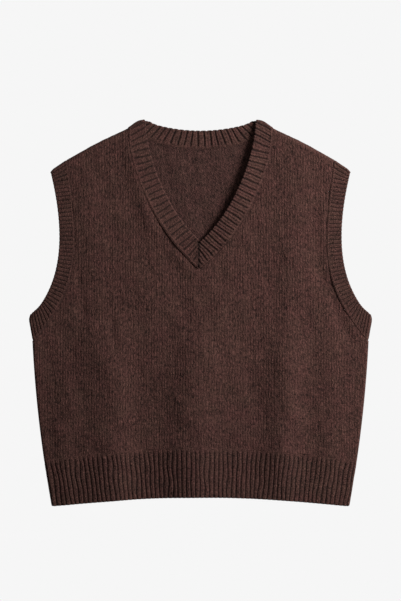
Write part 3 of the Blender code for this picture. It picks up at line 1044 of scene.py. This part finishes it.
    def seam_rise(self, aside: Array, travelled: Array, outer: Array) -> Array:
        """Height beside the seam: a stitched bead, less the dip at the seam itself.

        Args:
            aside: each point's distance from the seam.
            travelled: distance along the band at each station.
            outer: which points are on the outer face.

        Returns:
            One height for each point.
        """
        swing = self.stitch_swing * np.cos(2 * math.pi * travelled / self.stitch_length)[:, None]
        chain = self.seam_bead * bell(aside - self.bead_place, self.bead_spread) * (self.stitch_level + swing)
        drop = self.start_drop * (1.0 - smooth_step(aside, 0.0, self.drop_reach))
        dip = self.seam_dip * bell(aside, self.dip_spread) + drop
        return np.where(outer, chain - dip, -dip * self.inner_dip_share)

    def build(self, track: Track) -> bpy.types.Object:
        """Make the band along a track.

        Args:
            track: the stations.

        Returns:
            One closed mesh: a ring, or a strip with its two ends filled.
        """
        middle = (track.seam + track.edge) / 2 + track.out * self.wall / 2
        travelled = along(np.concatenate([middle, middle[:1]]) if self.closed else middle)
        total = travelled[-1]
        travelled = travelled[:len(middle)]
        across = track.edge - track.seam
        width = np.linalg.norm(across, axis=1)
        unit = across / width[:, None]
        width = width + self.widened - self.near_folds(track.out[:, 2], travelled, total)
        aside, height, share, walked = self.profile(width)
        ribs = self.rib_phase(travelled, total, aside)
        between = ((ribs + 0.5) % 1.0) - 0.5
        groove = bell((ribs % 1.0) - 0.5, self.groove_share)
        midline = bell(between, self.midline_share)
        back_groove = bell(between, self.groove_share)
        outer = height > 0.0
        fade = self.relief_share(aside, track.seam[:, :1] + unit[:, :1] * aside, share)
        sunk = np.where(outer, self.groove_depth * groove + self.midline_depth * midline,
                        self.groove_depth * back_groove) * fade
        rise = self.seam_rise(aside, travelled, outer)
        grain = np.random.default_rng(len(self.name)).normal(0.0, self.unevenness, aside.shape) * share
        half = height * (self.wall / 2 + self.swell) + np.sign(height) * (rise - sunk + grain)
        near_edge = smooth_step(aside, width[:, None] - self.wall, width[:, None] - self.wall / 2)
        aside = aside - self.scallop * groove * near_edge
        points = track.seam[:, None] + unit[:, None] * aside[..., None] + track.out[:, None] * half[..., None]
        uv = np.stack([ribs * self.wales_per_rib, walked / self.course], axis=-1)
        # Painted shade: darker in the ribs' grooves and midlines and along the seam's dip, where shade falls.
        painted_shade = np.where(outer, groove + self.midline_painted_shade * midline, back_groove) * fade
        seam_shade_line = bell(aside - self.seam_shade_place, self.seam_shade_spread)
        painted_shade = np.clip(painted_shade + self.seam_painted_shade * self.seam_dip * seam_shade_line, 0.0, 1.0)
        points[..., 2] = np.maximum(points[..., 2], FLOOR_CLEARANCE)
        for corner in self.corners:
            points = corner.draw_back(points)
        if self.cut_end_x is not None:
            x = points[..., 0]
            # Painted shade in the crevice just past the lapping end's cut, on the band beneath.
            crevice_shade = bell(x - self.cut_end_x - self.crevice_shade_place, self.crevice_shade_spread)
            crevice_shade = crevice_shade * (points[..., 1] < self.cut_end_top)
            every = np.concatenate([points, uv, np.maximum(painted_shade, crevice_shade)[..., None]], axis=-1)
            every = self.trimmed(every, x)
            points, uv, painted_shade = every[..., :3], every[..., 3:5], every[..., 5]
        return self.skin(points, uv, painted_shade)

    def skin(self, points: Array, uv: Array, painted_shade: Array) -> bpy.types.Object:
        """Join the stations' outlines into one closed mesh.

        Args:
            points: the points, a row for a station and a column for a point of the outline.
            uv: their places in the knit.
            painted_shade: painted shade at each point, from 0 to 1, in the grooves, along the seam and in the
                crevice past a cut end.

        Returns:
            The mesh as an object.
        """
        stations, around = points.shape[:2]
        numbers = np.arange(stations * around).reshape(stations, around)
        rows = np.concatenate([numbers, numbers[:1]]) if self.closed else numbers
        texture = np.concatenate([uv, uv[:1]]) if self.closed else uv
        if self.closed:
            texture[-1, :, 0] = uv[0, :, 0] + round(uv[-1, 0, 0] - uv[0, 0, 0])
        rows = np.concatenate([rows, rows[:, :1]], axis=1)
        texture = np.concatenate([texture, texture[:, -1:]], axis=1)
        quads = np.stack([rows[:-1, :-1], rows[1:, :-1], rows[1:, 1:], rows[:-1, 1:]], axis=-1).reshape(-1, 4)
        cells = np.stack([texture[:-1, :-1], texture[1:, :-1], texture[1:, 1:], texture[:-1, 1:]], axis=2)
        cells = cells.reshape(-1, 4, 2)
        if not self.closed:
            for station, flip in ((0, False), (stations - 1, True)):
                face = self.end_face(numbers[station], flip)
                quads = np.concatenate([quads, face])
                cells = np.concatenate([cells, np.broadcast_to(uv[station, 0], (len(face), 4, 2))])
        return make_piece(self.name, points.reshape(-1, 3), quads, cells, painted_shade.reshape(-1))

    def end_face(self, outline: Array, flip: bool) -> Array:
        """Fill a strip's end with quads between the outer and the inner face of its outline.

        Args:
            outline: the end's vertex numbers in turn round the wall.
            flip: whether the faces look the other way.

        Returns:
            The quads; with an odd count the last one is a triangle with a repeated corner.
        """
        outer = outline[:len(outline) // 2]
        inner = outline[::-1][:len(outer)]
        face = np.stack([outer[:-1], outer[1:], inner[1:], inner[:-1]], axis=-1)
        if len(outline) % 2:
            centre = outline[len(outer)]
            face = np.concatenate([face, [[outer[-1], centre, inner[-1], inner[-1]]]])
        return face[:, ::-1] if flip else face


@dataclass
class HemRib:
    """The rib border along the bottom of the front or the back, with a quarter turn at each side."""

    cut: Cut
    layer: Layer
    name: str
    folds: tuple[Fold, ...] = ()
    step: float = 0.72
    samples: int = 900
    seam_room: float = 0.16
    seam_end_y: float = -219.5
    corner_rise: float = 0.2
    corner_power: int = 6
    calm_share: float = 0.12
    turn_stations: int = 7

    def lift(self, points: Array, share: Array) -> Array:
        """Height of the panel's folds where they run on into the border.

        Args:
            points: plan points along the border.
            share: how far from the middle each lies, from -1 to 1.

        Returns:
            One height for each point, 0 at the sides.
        """
        calm = smooth_step(1.0 - np.abs(share), 0.0, self.calm_share)
        rises = (fold.rise(points[:, 0], points[:, 1]) for fold in self.folds)
        return sum(rises, np.zeros(len(points))) * calm

    def build(self) -> bpy.types.Object:
        """Make the border: straight across, then round each side to the seam half way up.

        Returns:
            The border as one closed strip.
        """
        cut = self.cut
        middle = cut.radius(cut.rib_wall)
        radius = cut.front_height - middle
        seam_x = float(cut.half_width(self.seam_end_y)) - middle
        edge_x = float(cut.half_width(cut.hem_corner_y)) - middle
        share = np.linspace(-1.0, 1.0, self.samples)
        seam = np.column_stack([share * seam_x, cut.across(share * seam_x, cut.hem_seam)])
        edge = np.column_stack([share * edge_x, cut.across(share * edge_x, cut.hem_edge)])
        end_shift = cut.hem_corner_y + self.corner_rise - edge[-1, 1]
        edge[:, 1] += end_shift * np.abs(share) ** self.corner_power
        base = cut.front_height if self.layer is Layer.FRONT else cut.rib_wall / 2
        seam_z, edge_z = base + self.lift(seam, share), base + self.lift(edge, share)
        track = Track.flat(seam, edge, seam_z, edge_z, self.layer, self.step)
        sign = float(self.layer.value)
        span = sign * math.pi / 2, sign * (self.seam_room / radius)
        left = Track.turn(seam[0], edge[0], np.array([-1.0, 0.0]), cut, *span, self.turn_stations)
        right = Track.turn(seam[-1], edge[-1], np.array([1.0, 0.0]), cut, *span, self.turn_stations)
        whole = left.backwards() + track + right
        band = RibBand(self.name, wall=cut.rib_wall, rib=6.9, groove_depth=1.05, groove_share=0.105,
                       face_points=40, back_points=12, wander=0.08, scallop=0.25, seam_bead=0.0,
                       seam_dip=0.0, midline_depth=0.12, rib_start=0.0, rib_full=8.0, start_drop=0.35,
                       round_ends=True, narrowed=(0.3, 0.3), fold_reach=(2.5, 2.5))
        return band.build(whole if self.layer is Layer.FRONT else whole.backwards())


@dataclass
class ArmholeBand:
    """A closed rib ring round one armhole, folded flat at the shoulder and the underarm.

    The pairs in narrowed and fold_reach are for the shoulder and the underarm of the right armhole.
    """

    cut: Cut
    side: float
    name: str
    step: float = 0.75
    low_blend: float = 0.28
    top_blend: float = 0.12
    shoulder_corner: tuple[float, float] = (226.3, 212.6)
    underarm_corner: tuple[float, float] = (258.6, -2.0)
    narrowed: tuple[float, float] = (-0.2, -4.2)
    fold_reach: tuple[float, float] = (6.0, 15.0)

    def build(self) -> bpy.types.Object:
        """Make the ring: up the front, over the shoulder, down the back and round the underarm.

        Returns:
            The band as one closed ring.
        """
        cut = self.cut
        seam = cut.arm_seam()
        edge = squared(seam, cut.arm_edge(), self.low_blend, self.top_blend)
        back = cut.rib_wall / 2
        half = math.pi / 2
        ring = (Track.flat(seam, edge, cut.front_height, cut.front_height, Layer.FRONT, self.step)
                + Track.turn(seam[-1], edge[-1], cut.arm_shoulder_out, cut, half, -half)
                + Track.flat(seam[::-1], edge[::-1], back, back, Layer.BACK, self.step)
                + Track.turn(seam[0], edge[0], cut.underarm_out, cut, -half, half))
        corners = (
            Corner(self.shoulder_corner, tuple(cut.arm_shoulder_out), depth=1.6, reach=6.0, around=3.0),
            Corner(self.underarm_corner, tuple(cut.underarm_out), depth=3.2, reach=6.0, around=3.6),
        )
        narrowed, reach = self.narrowed, self.fold_reach
        if self.side < 0:
            ring = ring.mirrored().backwards()
            corners = tuple(corner.mirrored() for corner in corners)
            narrowed, reach = narrowed[::-1], reach[::-1]
        band = RibBand(self.name, wall=cut.rib_wall, rib=6.0, groove_depth=0.8, groove_share=0.10,
                       face_points=26, closed=True, wander=0.05, scallop=0.4, widened=1.7, seam_bead=0.2,
                       seam_dip=0.75, narrowed=narrowed, fold_reach=reach, corners=corners)
        return band.build(ring)


@dataclass
class Neckband:
    """The rib strip round the neck, from its covered end at the V to the end that laps over it.

    Each side's curves are worked out with a straight run past the V's tip. The covered end leaves the run
    out, and the other end keeps it and is trimmed where it reaches cut_end_x.
    """

    cut: Cut
    name: str = "neckband_rib"
    step: float = 0.8
    run_on_points: int = 60
    back_samples: int = 400
    top_blend: float = 0.16
    cut_end_x: float = -3.5
    under_room: float = 0.4
    over_room: float = 0.35
    rise_span: tuple[float, float] = (2.0, 26.0)
    fall_span: tuple[float, float] = (12.0, 40.0)
    lift: float = 6.0
    lift_powers: tuple[float, float] = (1.5, 0.8)
    near_raise: float = 1.6
    raise_span: tuple[float, float] = (0.1, 0.3)
    lower_span: tuple[float, float] = (0.8, 1.0)
    near_tilt: float = 0.9
    fold_out: tuple[float, float] = (0.6, 4.9)
    back_rise: float = 3.4
    back_rise_spread: float = 7.0
    tip_drop: float = 2.5
    tip_share: float = 0.15
    neck_corner: tuple[float, float] = (82.5, 294.5)

    def run_on(self, curve: Array) -> Array:
        """A curve with a straight run before its start, point for point as far apart as its own."""
        step = curve[0] - curve[1]
        return np.concatenate([curve[0] + step * np.arange(self.run_on_points, 0, -1)[:, None], curve])

    def square_pairs(self) -> tuple[Array, Array]:
        """Seam and free-edge points of the right half, paired square to the seam but for the fold's end."""
        seam, edge = self.run_on(self.cut.neck_seam()), self.run_on(self.cut.neck_edge())
        return seam, squared(seam, edge, 0.0, self.top_blend)

    def shares(self, count: int) -> Array:
        """Share of the way from the V's tip to the shoulder at each point; 0 on the straight run."""
        start = self.run_on_points
        return np.clip((np.arange(count) - start) / (count - 1 - start), 0.0, 1.0)

    def covered_height(self) -> float:
        """Height of the wall's middle at the covered end, which lies on the front panel."""
        return self.cut.body_wall + self.under_room + self.cut.rib_wall / 2

    def covered_side(self, seam: Array, edge: Array) -> Track:
        """The right side, from the covered end at the V up to the shoulder fold.

        Args:
            seam: plan points of the seam.
            edge: the free-edge points paired with them.

        Returns:
            The stretch.
        """
        start, under = self.run_on_points, self.covered_height()
        way, depth = self.lift_powers
        lift = self.lift * np.sin(math.pi * self.shares(len(seam)) ** way) ** depth
        rise = smooth_step(np.minimum(seam[:, 0], edge[:, 0]), *self.rise_span)
        height = under + (self.cut.front_height - under) * rise
        return Track.flat(seam[start:], edge[start:], height[start:], (height + lift)[start:], Layer.FRONT,
                          self.step)

    def lapping_side(self, seam: Array, edge: Array) -> Track:
        """The left side, from the shoulder fold down to the end that laps over the covered one.

        Args:
            seam: plan points of the right side's seam.
            edge: the free-edge points paired with them.

        Returns:
            The stretch.
        """
        share = self.shares(len(seam))
        over = self.covered_height() + self.cut.rib_wall + self.over_room
        near_seam, near_edge = mirrored(seam), mirrored(edge)
        near_seam[:, 1] -= self.tip_drop * (1.0 - smooth_step(share, 0.0, self.tip_share))
        fall = smooth_step(-np.maximum(near_seam[:, 0], near_edge[:, 0]), *self.fall_span)
        top = over + (self.cut.front_height - over) * fall
        raised = self.near_raise * smooth_step(share, *self.raise_span)
        raised = raised * (1.0 - smooth_step(share, *self.lower_span))
        return Track.flat(near_seam, near_edge, top + raised, top - self.near_tilt * raised, Layer.FRONT,
                          self.step).backwards()

    def back_part(self, seam_end: Array, edge_end: Array) -> Track:
        """The part along the back neck, from the right shoulder to the left one.

        Args:
            seam_end: plan point where the right side's seam ends.
            edge_end: plan point where its free edge ends.

        Returns:
            The stretch.
        """
        cut = self.cut
        x = np.linspace(1.0, -1.0, self.back_samples)
        seam_x, edge_x = x * seam_end[0], x * edge_end[0]
        seam = np.column_stack([seam_x, cut.back_neck(seam_x, cut.back_neck_seam_y, seam_end)])
        edge = np.column_stack([edge_x, cut.back_neck(edge_x, cut.back_neck_edge_y, edge_end)])
        edge[:, 1] += self.back_rise * bell(np.abs(edge[:, 0]) - edge_end[0], self.back_rise_spread)
        return Track.flat(seam, edge, cut.rib_wall / 2, cut.rib_wall / 2, Layer.BACK, self.step)

    def build(self) -> bpy.types.Object:
        """Make the strip: from the covered end up one side, round the back and down the other to the lap.

        Returns:
            The band as one closed strip.
        """
        cut, half = self.cut, math.pi / 2
        seam, edge = self.square_pairs()
        out = cut.shoulder_out
        fold = seam[-1] + self.fold_out[0] * out, edge[-1] + self.fold_out[1] * out
        whole = (self.covered_side(seam, edge)
                 + Track.turn(*fold, out, cut, half, -half)
                 + self.back_part(seam[-1], edge[-1])
                 + Track.turn(mirrored(fold[0]), mirrored(fold[1]), mirrored(out), cut, -half, half)
                 + self.lapping_side(seam, edge))
        corner = Corner(self.neck_corner, tuple(out), depth=5.6, reach=7.0, around=6.5)
        band = RibBand(self.name, wall=cut.rib_wall, rib=9.5, groove_depth=1.05, groove_share=0.095,
                       face_points=36, back_points=16, midline_depth=0.45, wander=0.04, scallop=0.9,
                       seam_bead=0.25, seam_dip=0.42, rib_start=2.6, rib_full=4.6, widened=0.8,
                       cut_end_x=self.cut_end_x, corners=(corner, corner.mirrored()))
        return band.build(whole)


# ---------------------------------------------------------------- finishes

class Nodes:
    """Short-hand for building a material's node tree."""

    def __init__(self, name: str) -> None:
        """Start a material with only a Principled shader and its output."""
        self.material = bpy.data.materials.new(name)
        self.material.use_nodes = True
        self.tree = self.material.node_tree
        self.shader = self.tree.nodes["Principled BSDF"]

    def link(self, source: bpy.types.NodeSocket, target: bpy.types.NodeSocket) -> None:
        """Join an output to an input."""
        self.tree.links.new(source, target)

    def add(self, kind: str, **settings: object) -> bpy.types.Node:
        """Add a node and set its named properties.

        Args:
            kind: Blender's name for the node's type.
            settings: the properties and their values.

        Returns:
            The node.
        """
        node = self.tree.nodes.new(kind)
        for key, value in settings.items():
            setattr(node, key, value)
        return node

    def math(self, operation: str, a: object, b: object = 0.0,
             c: object = 0.0) -> bpy.types.NodeSocket:
        """Add one Math node.

        Args:
            operation: what it works out.
            a: first value, a number or another node's output.
            b: second value.
            c: third value.

        Returns:
            Its output.
        """
        node = self.add("ShaderNodeMath", operation=operation)
        for socket, value in zip(node.inputs, (a, b, c)):
            if isinstance(value, bpy.types.NodeSocket):
                self.link(value, socket)
            else:
                socket.default_value = value
        return node.outputs[0]

    def noise(self, scale: float, detail: float, vector: bpy.types.NodeSocket) -> bpy.types.NodeSocket:
        """Add a noise texture.

        Args:
            scale: about how many patches a unit of the vector has.
            detail: how many finer layers it adds.
            vector: where it is read.

        Returns:
            A number about 0.5.
        """
        node = self.add("ShaderNodeTexNoise")
        node.inputs["Scale"].default_value = scale
        node.inputs["Detail"].default_value = detail
        self.link(vector, node.inputs["Vector"])
        return node.outputs["Fac"]


@dataclass(frozen=True)
class KnitFinish:
    """Brown wool yarn, knitted: melange colour, soft hairs, and stitches as bump over the modelled wales.

    The noises' scales are per metre, but for the loops', which is per stitch. The groove attribute darkens
    the yarn as painted shade.
    """

    name: str
    colour: tuple[float, float, float]
    stitch: Stitch
    melange: float = 1.0
    stitch_bump: float = 0.5
    groove_painted_shade: float = 0.45
    leg_slant: ClassVar[float] = 0.45
    wale_sway: ClassVar[tuple[float, float]] = (150.0, 1.2)
    course_sway: ClassVar[tuple[float, float]] = (190.0, 2.4)
    loop_scale: ClassVar[float] = 1.9
    loop_stretch: ClassVar[float] = 0.45
    hair_scale: ClassVar[float] = 900.0
    broad_scale: ClassVar[float] = 85.0
    hue_scale: ClassVar[float] = 48.0
    loop_share: ClassVar[float] = 0.6
    hair_share: ClassVar[float] = 0.4
    melange_contrast: ClassVar[float] = 6.4
    broad_contrast: ClassVar[float] = 0.9
    darkest: ClassVar[float] = 0.2
    hue_changes: ClassVar[dict[str, float]] = {"Red": -0.06, "Green": 0.24, "Blue": 0.06}
    bump_distance: ClassVar[float] = 0.0009
    hair_bump: ClassVar[float] = 1.2
    surface: ClassVar[dict[str, object]] = {
        "Roughness": 0.95,
        "Specular IOR Level": 0.08,
        "Sheen Weight": 0.07,
        "Sheen Roughness": 0.5,
        "Sheen Tint": (0.75, 0.55, 0.5, 1.0),
    }

    def stitch_height(self, nodes: Nodes, u: bpy.types.NodeSocket,
                      v: bpy.types.NodeSocket) -> bpy.types.NodeSocket:
        """Height of the stitches: two slanting legs a wale on the right side, offset bumps on the wrong side.

        With a the distance from the wale's middle from 0 to 1, the right side's height is
        (1 - a^2) * (0.6 + 0.4 cos 2pi(v + 0.45 a)).

        Args:
            nodes: the material's nodes.
            u: count of wales.
            v: count of courses.

        Returns:
            The height, from 0 to 1.
        """
        if self.stitch is Stitch.WRONG_SIDE:
            wave = nodes.math("MULTIPLY", nodes.math("SINE", nodes.math("MULTIPLY", u, 2 * math.pi)),
                              nodes.math("SINE", nodes.math("MULTIPLY", v, 2 * math.pi)))
            return nodes.math("MULTIPLY_ADD", wave, 0.5, 0.5)
        share = nodes.math("FRACT", u)
        away = nodes.math("ABSOLUTE", nodes.math("MULTIPLY_ADD", share, 2.0, -1.0))
        legs = nodes.math("MULTIPLY_ADD", away, self.leg_slant, v)
        wave = nodes.math("COSINE", nodes.math("MULTIPLY", legs, 2 * math.pi))
        body = nodes.math("SUBTRACT", 1.0, nodes.math("MULTIPLY", away, away))
        return nodes.math("MULTIPLY", body, nodes.math("MULTIPLY_ADD", wave, 0.4, 0.6))

    def swayed(self, nodes: Nodes, count: bpy.types.NodeSocket, sway: tuple[float, float],
               spot: bpy.types.NodeSocket) -> bpy.types.NodeSocket:
        """Make a count of wales or courses a little uneven.

        Args:
            nodes: the material's nodes.
            count: the even count.
            sway: the noise's scale and how much it adds.
            spot: the place on the object.

        Returns:
            The uneven count.
        """
        scale, amount = sway
        return nodes.math("MULTIPLY_ADD", nodes.math("SUBTRACT", nodes.noise(scale, 1.0, spot), 0.5), amount,
                          count)

    def yarn(self, nodes: Nodes, shade: bpy.types.NodeSocket,
             spot: bpy.types.NodeSocket) -> bpy.types.NodeSocket:
        """The yarn's colour, shaded and with its hue a little uneven.

        Args:
            nodes: the material's nodes.
            shade: how light each place is, about 1.
            spot: the place on the object.

        Returns:
            The colour.
        """
        tint = nodes.add("ShaderNodeMix", data_type="RGBA", blend_type="MULTIPLY")
        tint.inputs["Factor"].default_value = 1.0
        tint.inputs["A"].default_value = (*self.colour, 1.0)
        grey = nodes.add("ShaderNodeCombineColor")
        hue = nodes.math("SUBTRACT", nodes.noise(self.hue_scale, 2.0, spot), 0.5)
        for channel, change in self.hue_changes.items():
            level = nodes.math("MULTIPLY", shade, nodes.math("MULTIPLY_ADD", hue, change, 1.0))
            nodes.link(level, grey.inputs[channel])
        nodes.link(grey.outputs[0], tint.inputs["B"])
        return tint.outputs["Result"]

    def make(self) -> bpy.types.Material:
        """Build the material.

        The yarn's shade is 1 plus the loops' and hairs' noise and a broader noise, each by its contrast, and
        is darkened by painted shade where the groove attribute says so: in the knit's grooves, and on the
        bands also along the seams and in the crevice past the cut end.

        Returns:
            The material.
        """
        nodes = Nodes(self.name)
        place = nodes.add("ShaderNodeTexCoord")
        knit = nodes.add("ShaderNodeUVMap", uv_map="knit")
        split = nodes.add("ShaderNodeSeparateXYZ")
        nodes.link(knit.outputs["UV"], split.inputs[0])
        spot = place.outputs["Object"]
        u = self.swayed(nodes, split.outputs["X"], self.wale_sway, spot)
        v = self.swayed(nodes, split.outputs["Y"], self.course_sway, spot)
        height = self.stitch_height(nodes, u, v)
        drawn = nodes.add("ShaderNodeCombineXYZ")
        nodes.link(u, drawn.inputs["X"])
        nodes.link(nodes.math("MULTIPLY", v, self.loop_stretch), drawn.inputs["Y"])
        loops = nodes.noise(self.loop_scale, 3.0, drawn.outputs[0])
        hair = nodes.noise(self.hair_scale, 3.0, spot)
        broad = nodes.noise(self.broad_scale, 3.0, spot)
        mixed = nodes.math("ADD", nodes.math("MULTIPLY", loops, self.loop_share),
                           nodes.math("MULTIPLY", hair, self.hair_share))
        shade = nodes.math("MULTIPLY_ADD", nodes.math("SUBTRACT", mixed, 0.5),
                           self.melange_contrast * self.melange, 1.0)
        shade = nodes.math("MULTIPLY_ADD", nodes.math("SUBTRACT", broad, 0.5), self.broad_contrast, shade)
        shade = nodes.math("MAXIMUM", shade, self.darkest)
        # Painted shade: the yarn is darkened by the groove attribute, in grooves, seams and crevices where
        # shade falls.
        groove = nodes.add("ShaderNodeAttribute", attribute_name="groove").outputs["Fac"]
        shade = nodes.math("MULTIPLY", shade, nodes.math("MULTIPLY_ADD", groove, -self.groove_painted_shade, 1.0))
        nodes.link(self.yarn(nodes, shade, spot), nodes.shader.inputs["Base Color"])
        bump = nodes.add("ShaderNodeBump")
        bump.inputs["Strength"].default_value = self.stitch_bump
        bump.inputs["Distance"].default_value = self.bump_distance
        total = nodes.math("ADD", height, nodes.math("MULTIPLY", mixed, self.hair_bump))
        nodes.link(total, bump.inputs["Height"])
        nodes.link(bump.outputs["Normal"], nodes.shader.inputs["Normal"])
        for name, value in self.surface.items():
            nodes.shader.inputs[name].default_value = value
        return nodes.material


# Each finish's groove darkening is painted shade in the knit's recesses.
PANEL_KNIT = KnitFinish("brown_wool_plain_knit", (0.0306, 0.0131, 0.0106), Stitch.RIGHT_SIDE,
                        groove_painted_shade=0.08)
# The wrong side's colour is the yarn's own, made a little darker as painted shade for the shade inside the
# laid-out vest.
PANEL_WRONG_SIDE_SHADED = KnitFinish("brown_wool_wrong_side_painted_shade", (0.0265, 0.0117, 0.0097), Stitch.WRONG_SIDE,
                          groove_painted_shade=0.1)
RIB_KNIT = KnitFinish("brown_wool_rib", (0.0345, 0.0150, 0.0120), Stitch.RIGHT_SIDE, melange=0.8,
                      groove_painted_shade=0.8)


# ---------------------------------------------------------------- the vest and its stage

@dataclass
class Vest:
    """All the pieces, each on the vest's one body and in place of its CAD node."""

    cut: Cut = field(default_factory=Cut)

    def dress(self, piece: bpy.types.Object, node: str, finishes: tuple[bpy.types.Material, ...]) -> None:
        """Give a piece its finish, put it on the vest's body, hide the CAD node it stands in for and log its
        triangles.

        Args:
            piece: the finished mesh.
            node: the CAD node it replaces.
            finishes: its materials, the outer face's first.
        """
        for finish in finishes:
            piece.data.materials.append(finish)
        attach(piece, "root")
        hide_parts(node)
        triangles = sum(len(face.vertices) - 2 for face in piece.data.polygons)
        log.info("%s: %d triangles before its wall", piece.name, triangles)

    def build(self) -> None:
        """Make and dress every piece."""
        plain, inside, rib = PANEL_KNIT.make(), PANEL_WRONG_SIDE_SHADED.make(), RIB_KNIT.make()
        cut = self.cut
        front = KnitPanel(cut, Layer.FRONT, FRONT_FOLDS, name="front_panel").build()
        back = KnitPanel(cut, Layer.BACK, BACK_FOLDS, name="back_panel").build()
        self.dress(front, "front_body", (plain, inside))
        self.dress(back, "back_body", (plain, inside))
        hem_front = HemRib(cut, Layer.FRONT, "front_hem", FRONT_FOLDS).build()
        hem_back = HemRib(cut, Layer.BACK, "back_hem").build()
        self.dress(hem_front, "front_hem_rib", (rib,))
        self.dress(hem_back, "back_hem_rib", (rib,))
        for side, word in ((1.0, "right"), (-1.0, "left")):
            ring = ArmholeBand(cut, side, f"armhole_rib_{word}").build()
            self.dress(ring, f"armhole_band_{word}", (rib,))
        neck = Neckband(cut).build()
        self.dress(neck, "neckband", (rib,))


@dataclass(frozen=True)
class SoftBox:
    """A square lamp: where it stands, its size in metres and its power in watts."""

    name: str
    place: tuple[float, float, float]
    size: float
    power: float

    def build(self) -> None:
        """Make the lamp, aimed at the middle of the vest."""
        data = bpy.data.lights.new(self.name, "AREA")
        data.shape = "SQUARE"
        data.size = self.size
        data.energy = self.power
        lamp = bpy.data.objects.new(self.name, data)
        lamp.location = self.place
        x, y, z = self.place
        lamp.rotation_euler = (math.atan2(math.hypot(x, y), z), 0.0, math.atan2(x, -y))
        bpy.context.collection.objects.link(lamp)


@dataclass(frozen=True)
class Stage:
    """Pale floor, soft studio light and a camera straight above."""

    view_height: float = 0.9015
    view_centre_y: float = 0.019
    camera_height: float = 3.4
    sensor_height: float = 36.0
    floor_size: float = 6.0
    floor_white: float = 0.9216
    surroundings: float = 0.26
    lamps: tuple[SoftBox, ...] = (
        SoftBox("key", place=(1.60, 0.85, 0.90), size=0.7, power=135.0),
        SoftBox("fill", place=(-1.3, -0.6, 1.6), size=1.8, power=4.0),
    )

    def build(self) -> None:
        """Make the floor, the lights, the camera and the surroundings."""
        self.floor()
        self.camera()
        for lamp in self.lamps:
            lamp.build()
        world = bpy.data.worlds.new("studio")
        bpy.context.scene.world = world
        world.use_nodes = True
        background = world.node_tree.nodes["Background"]
        background.inputs["Color"].default_value = (1.0, 1.0, 1.0, 1.0)
        background.inputs["Strength"].default_value = self.surroundings
        bpy.context.scene.view_settings.view_transform = "Standard"
        bpy.context.scene.view_settings.look = "None"

    def floor(self) -> None:
        """A wide plain floor that glows evenly, so that it stays pale all over."""
        half = self.floor_size / 2
        mesh = bpy.data.meshes.new("floor")
        corners = np.array([(-half, -half, 0.0), (half, -half, 0.0), (half, half, 0.0), (-half, half, 0.0)])
        mesh.from_pydata(corners.tolist(), [], [(0, 1, 2, 3)])
        floor = bpy.data.objects.new("floor", mesh)
        bpy.context.collection.objects.link(floor)
        nodes = Nodes("pale_floor")
        nodes.shader.inputs["Base Color"].default_value = (0.0, 0.0, 0.0, 1.0)
        nodes.shader.inputs["Roughness"].default_value = 1.0
        nodes.shader.inputs["Specular IOR Level"].default_value = 0.0
        nodes.shader.inputs["Emission Color"].default_value = (1.0, 1.0, 1.0, 1.0)
        nodes.shader.inputs["Emission Strength"].default_value = self.floor_white
        mesh.materials.append(nodes.material)

    def camera(self) -> None:
        """A long lens straight above, framing the view's height at the cloth."""
        data = bpy.data.cameras.new("camera")
        data.sensor_fit = "VERTICAL"
        data.sensor_height = self.sensor_height
        data.lens = data.sensor_height * self.camera_height / self.view_height
        camera = bpy.data.objects.new("camera", data)
        camera.location = (0.0, self.view_centre_y, self.camera_height)
        bpy.context.collection.objects.link(camera)
        bpy.context.scene.camera = camera


def main() -> None:
    """Build the vest and its stage."""
    Stage().build()
    Vest().build()
    bpy.context.view_layer.update()


if __name__ == "__main__":
    logging.basicConfig(level=logging.INFO, format="%(name)s: %(message)s")
    main()
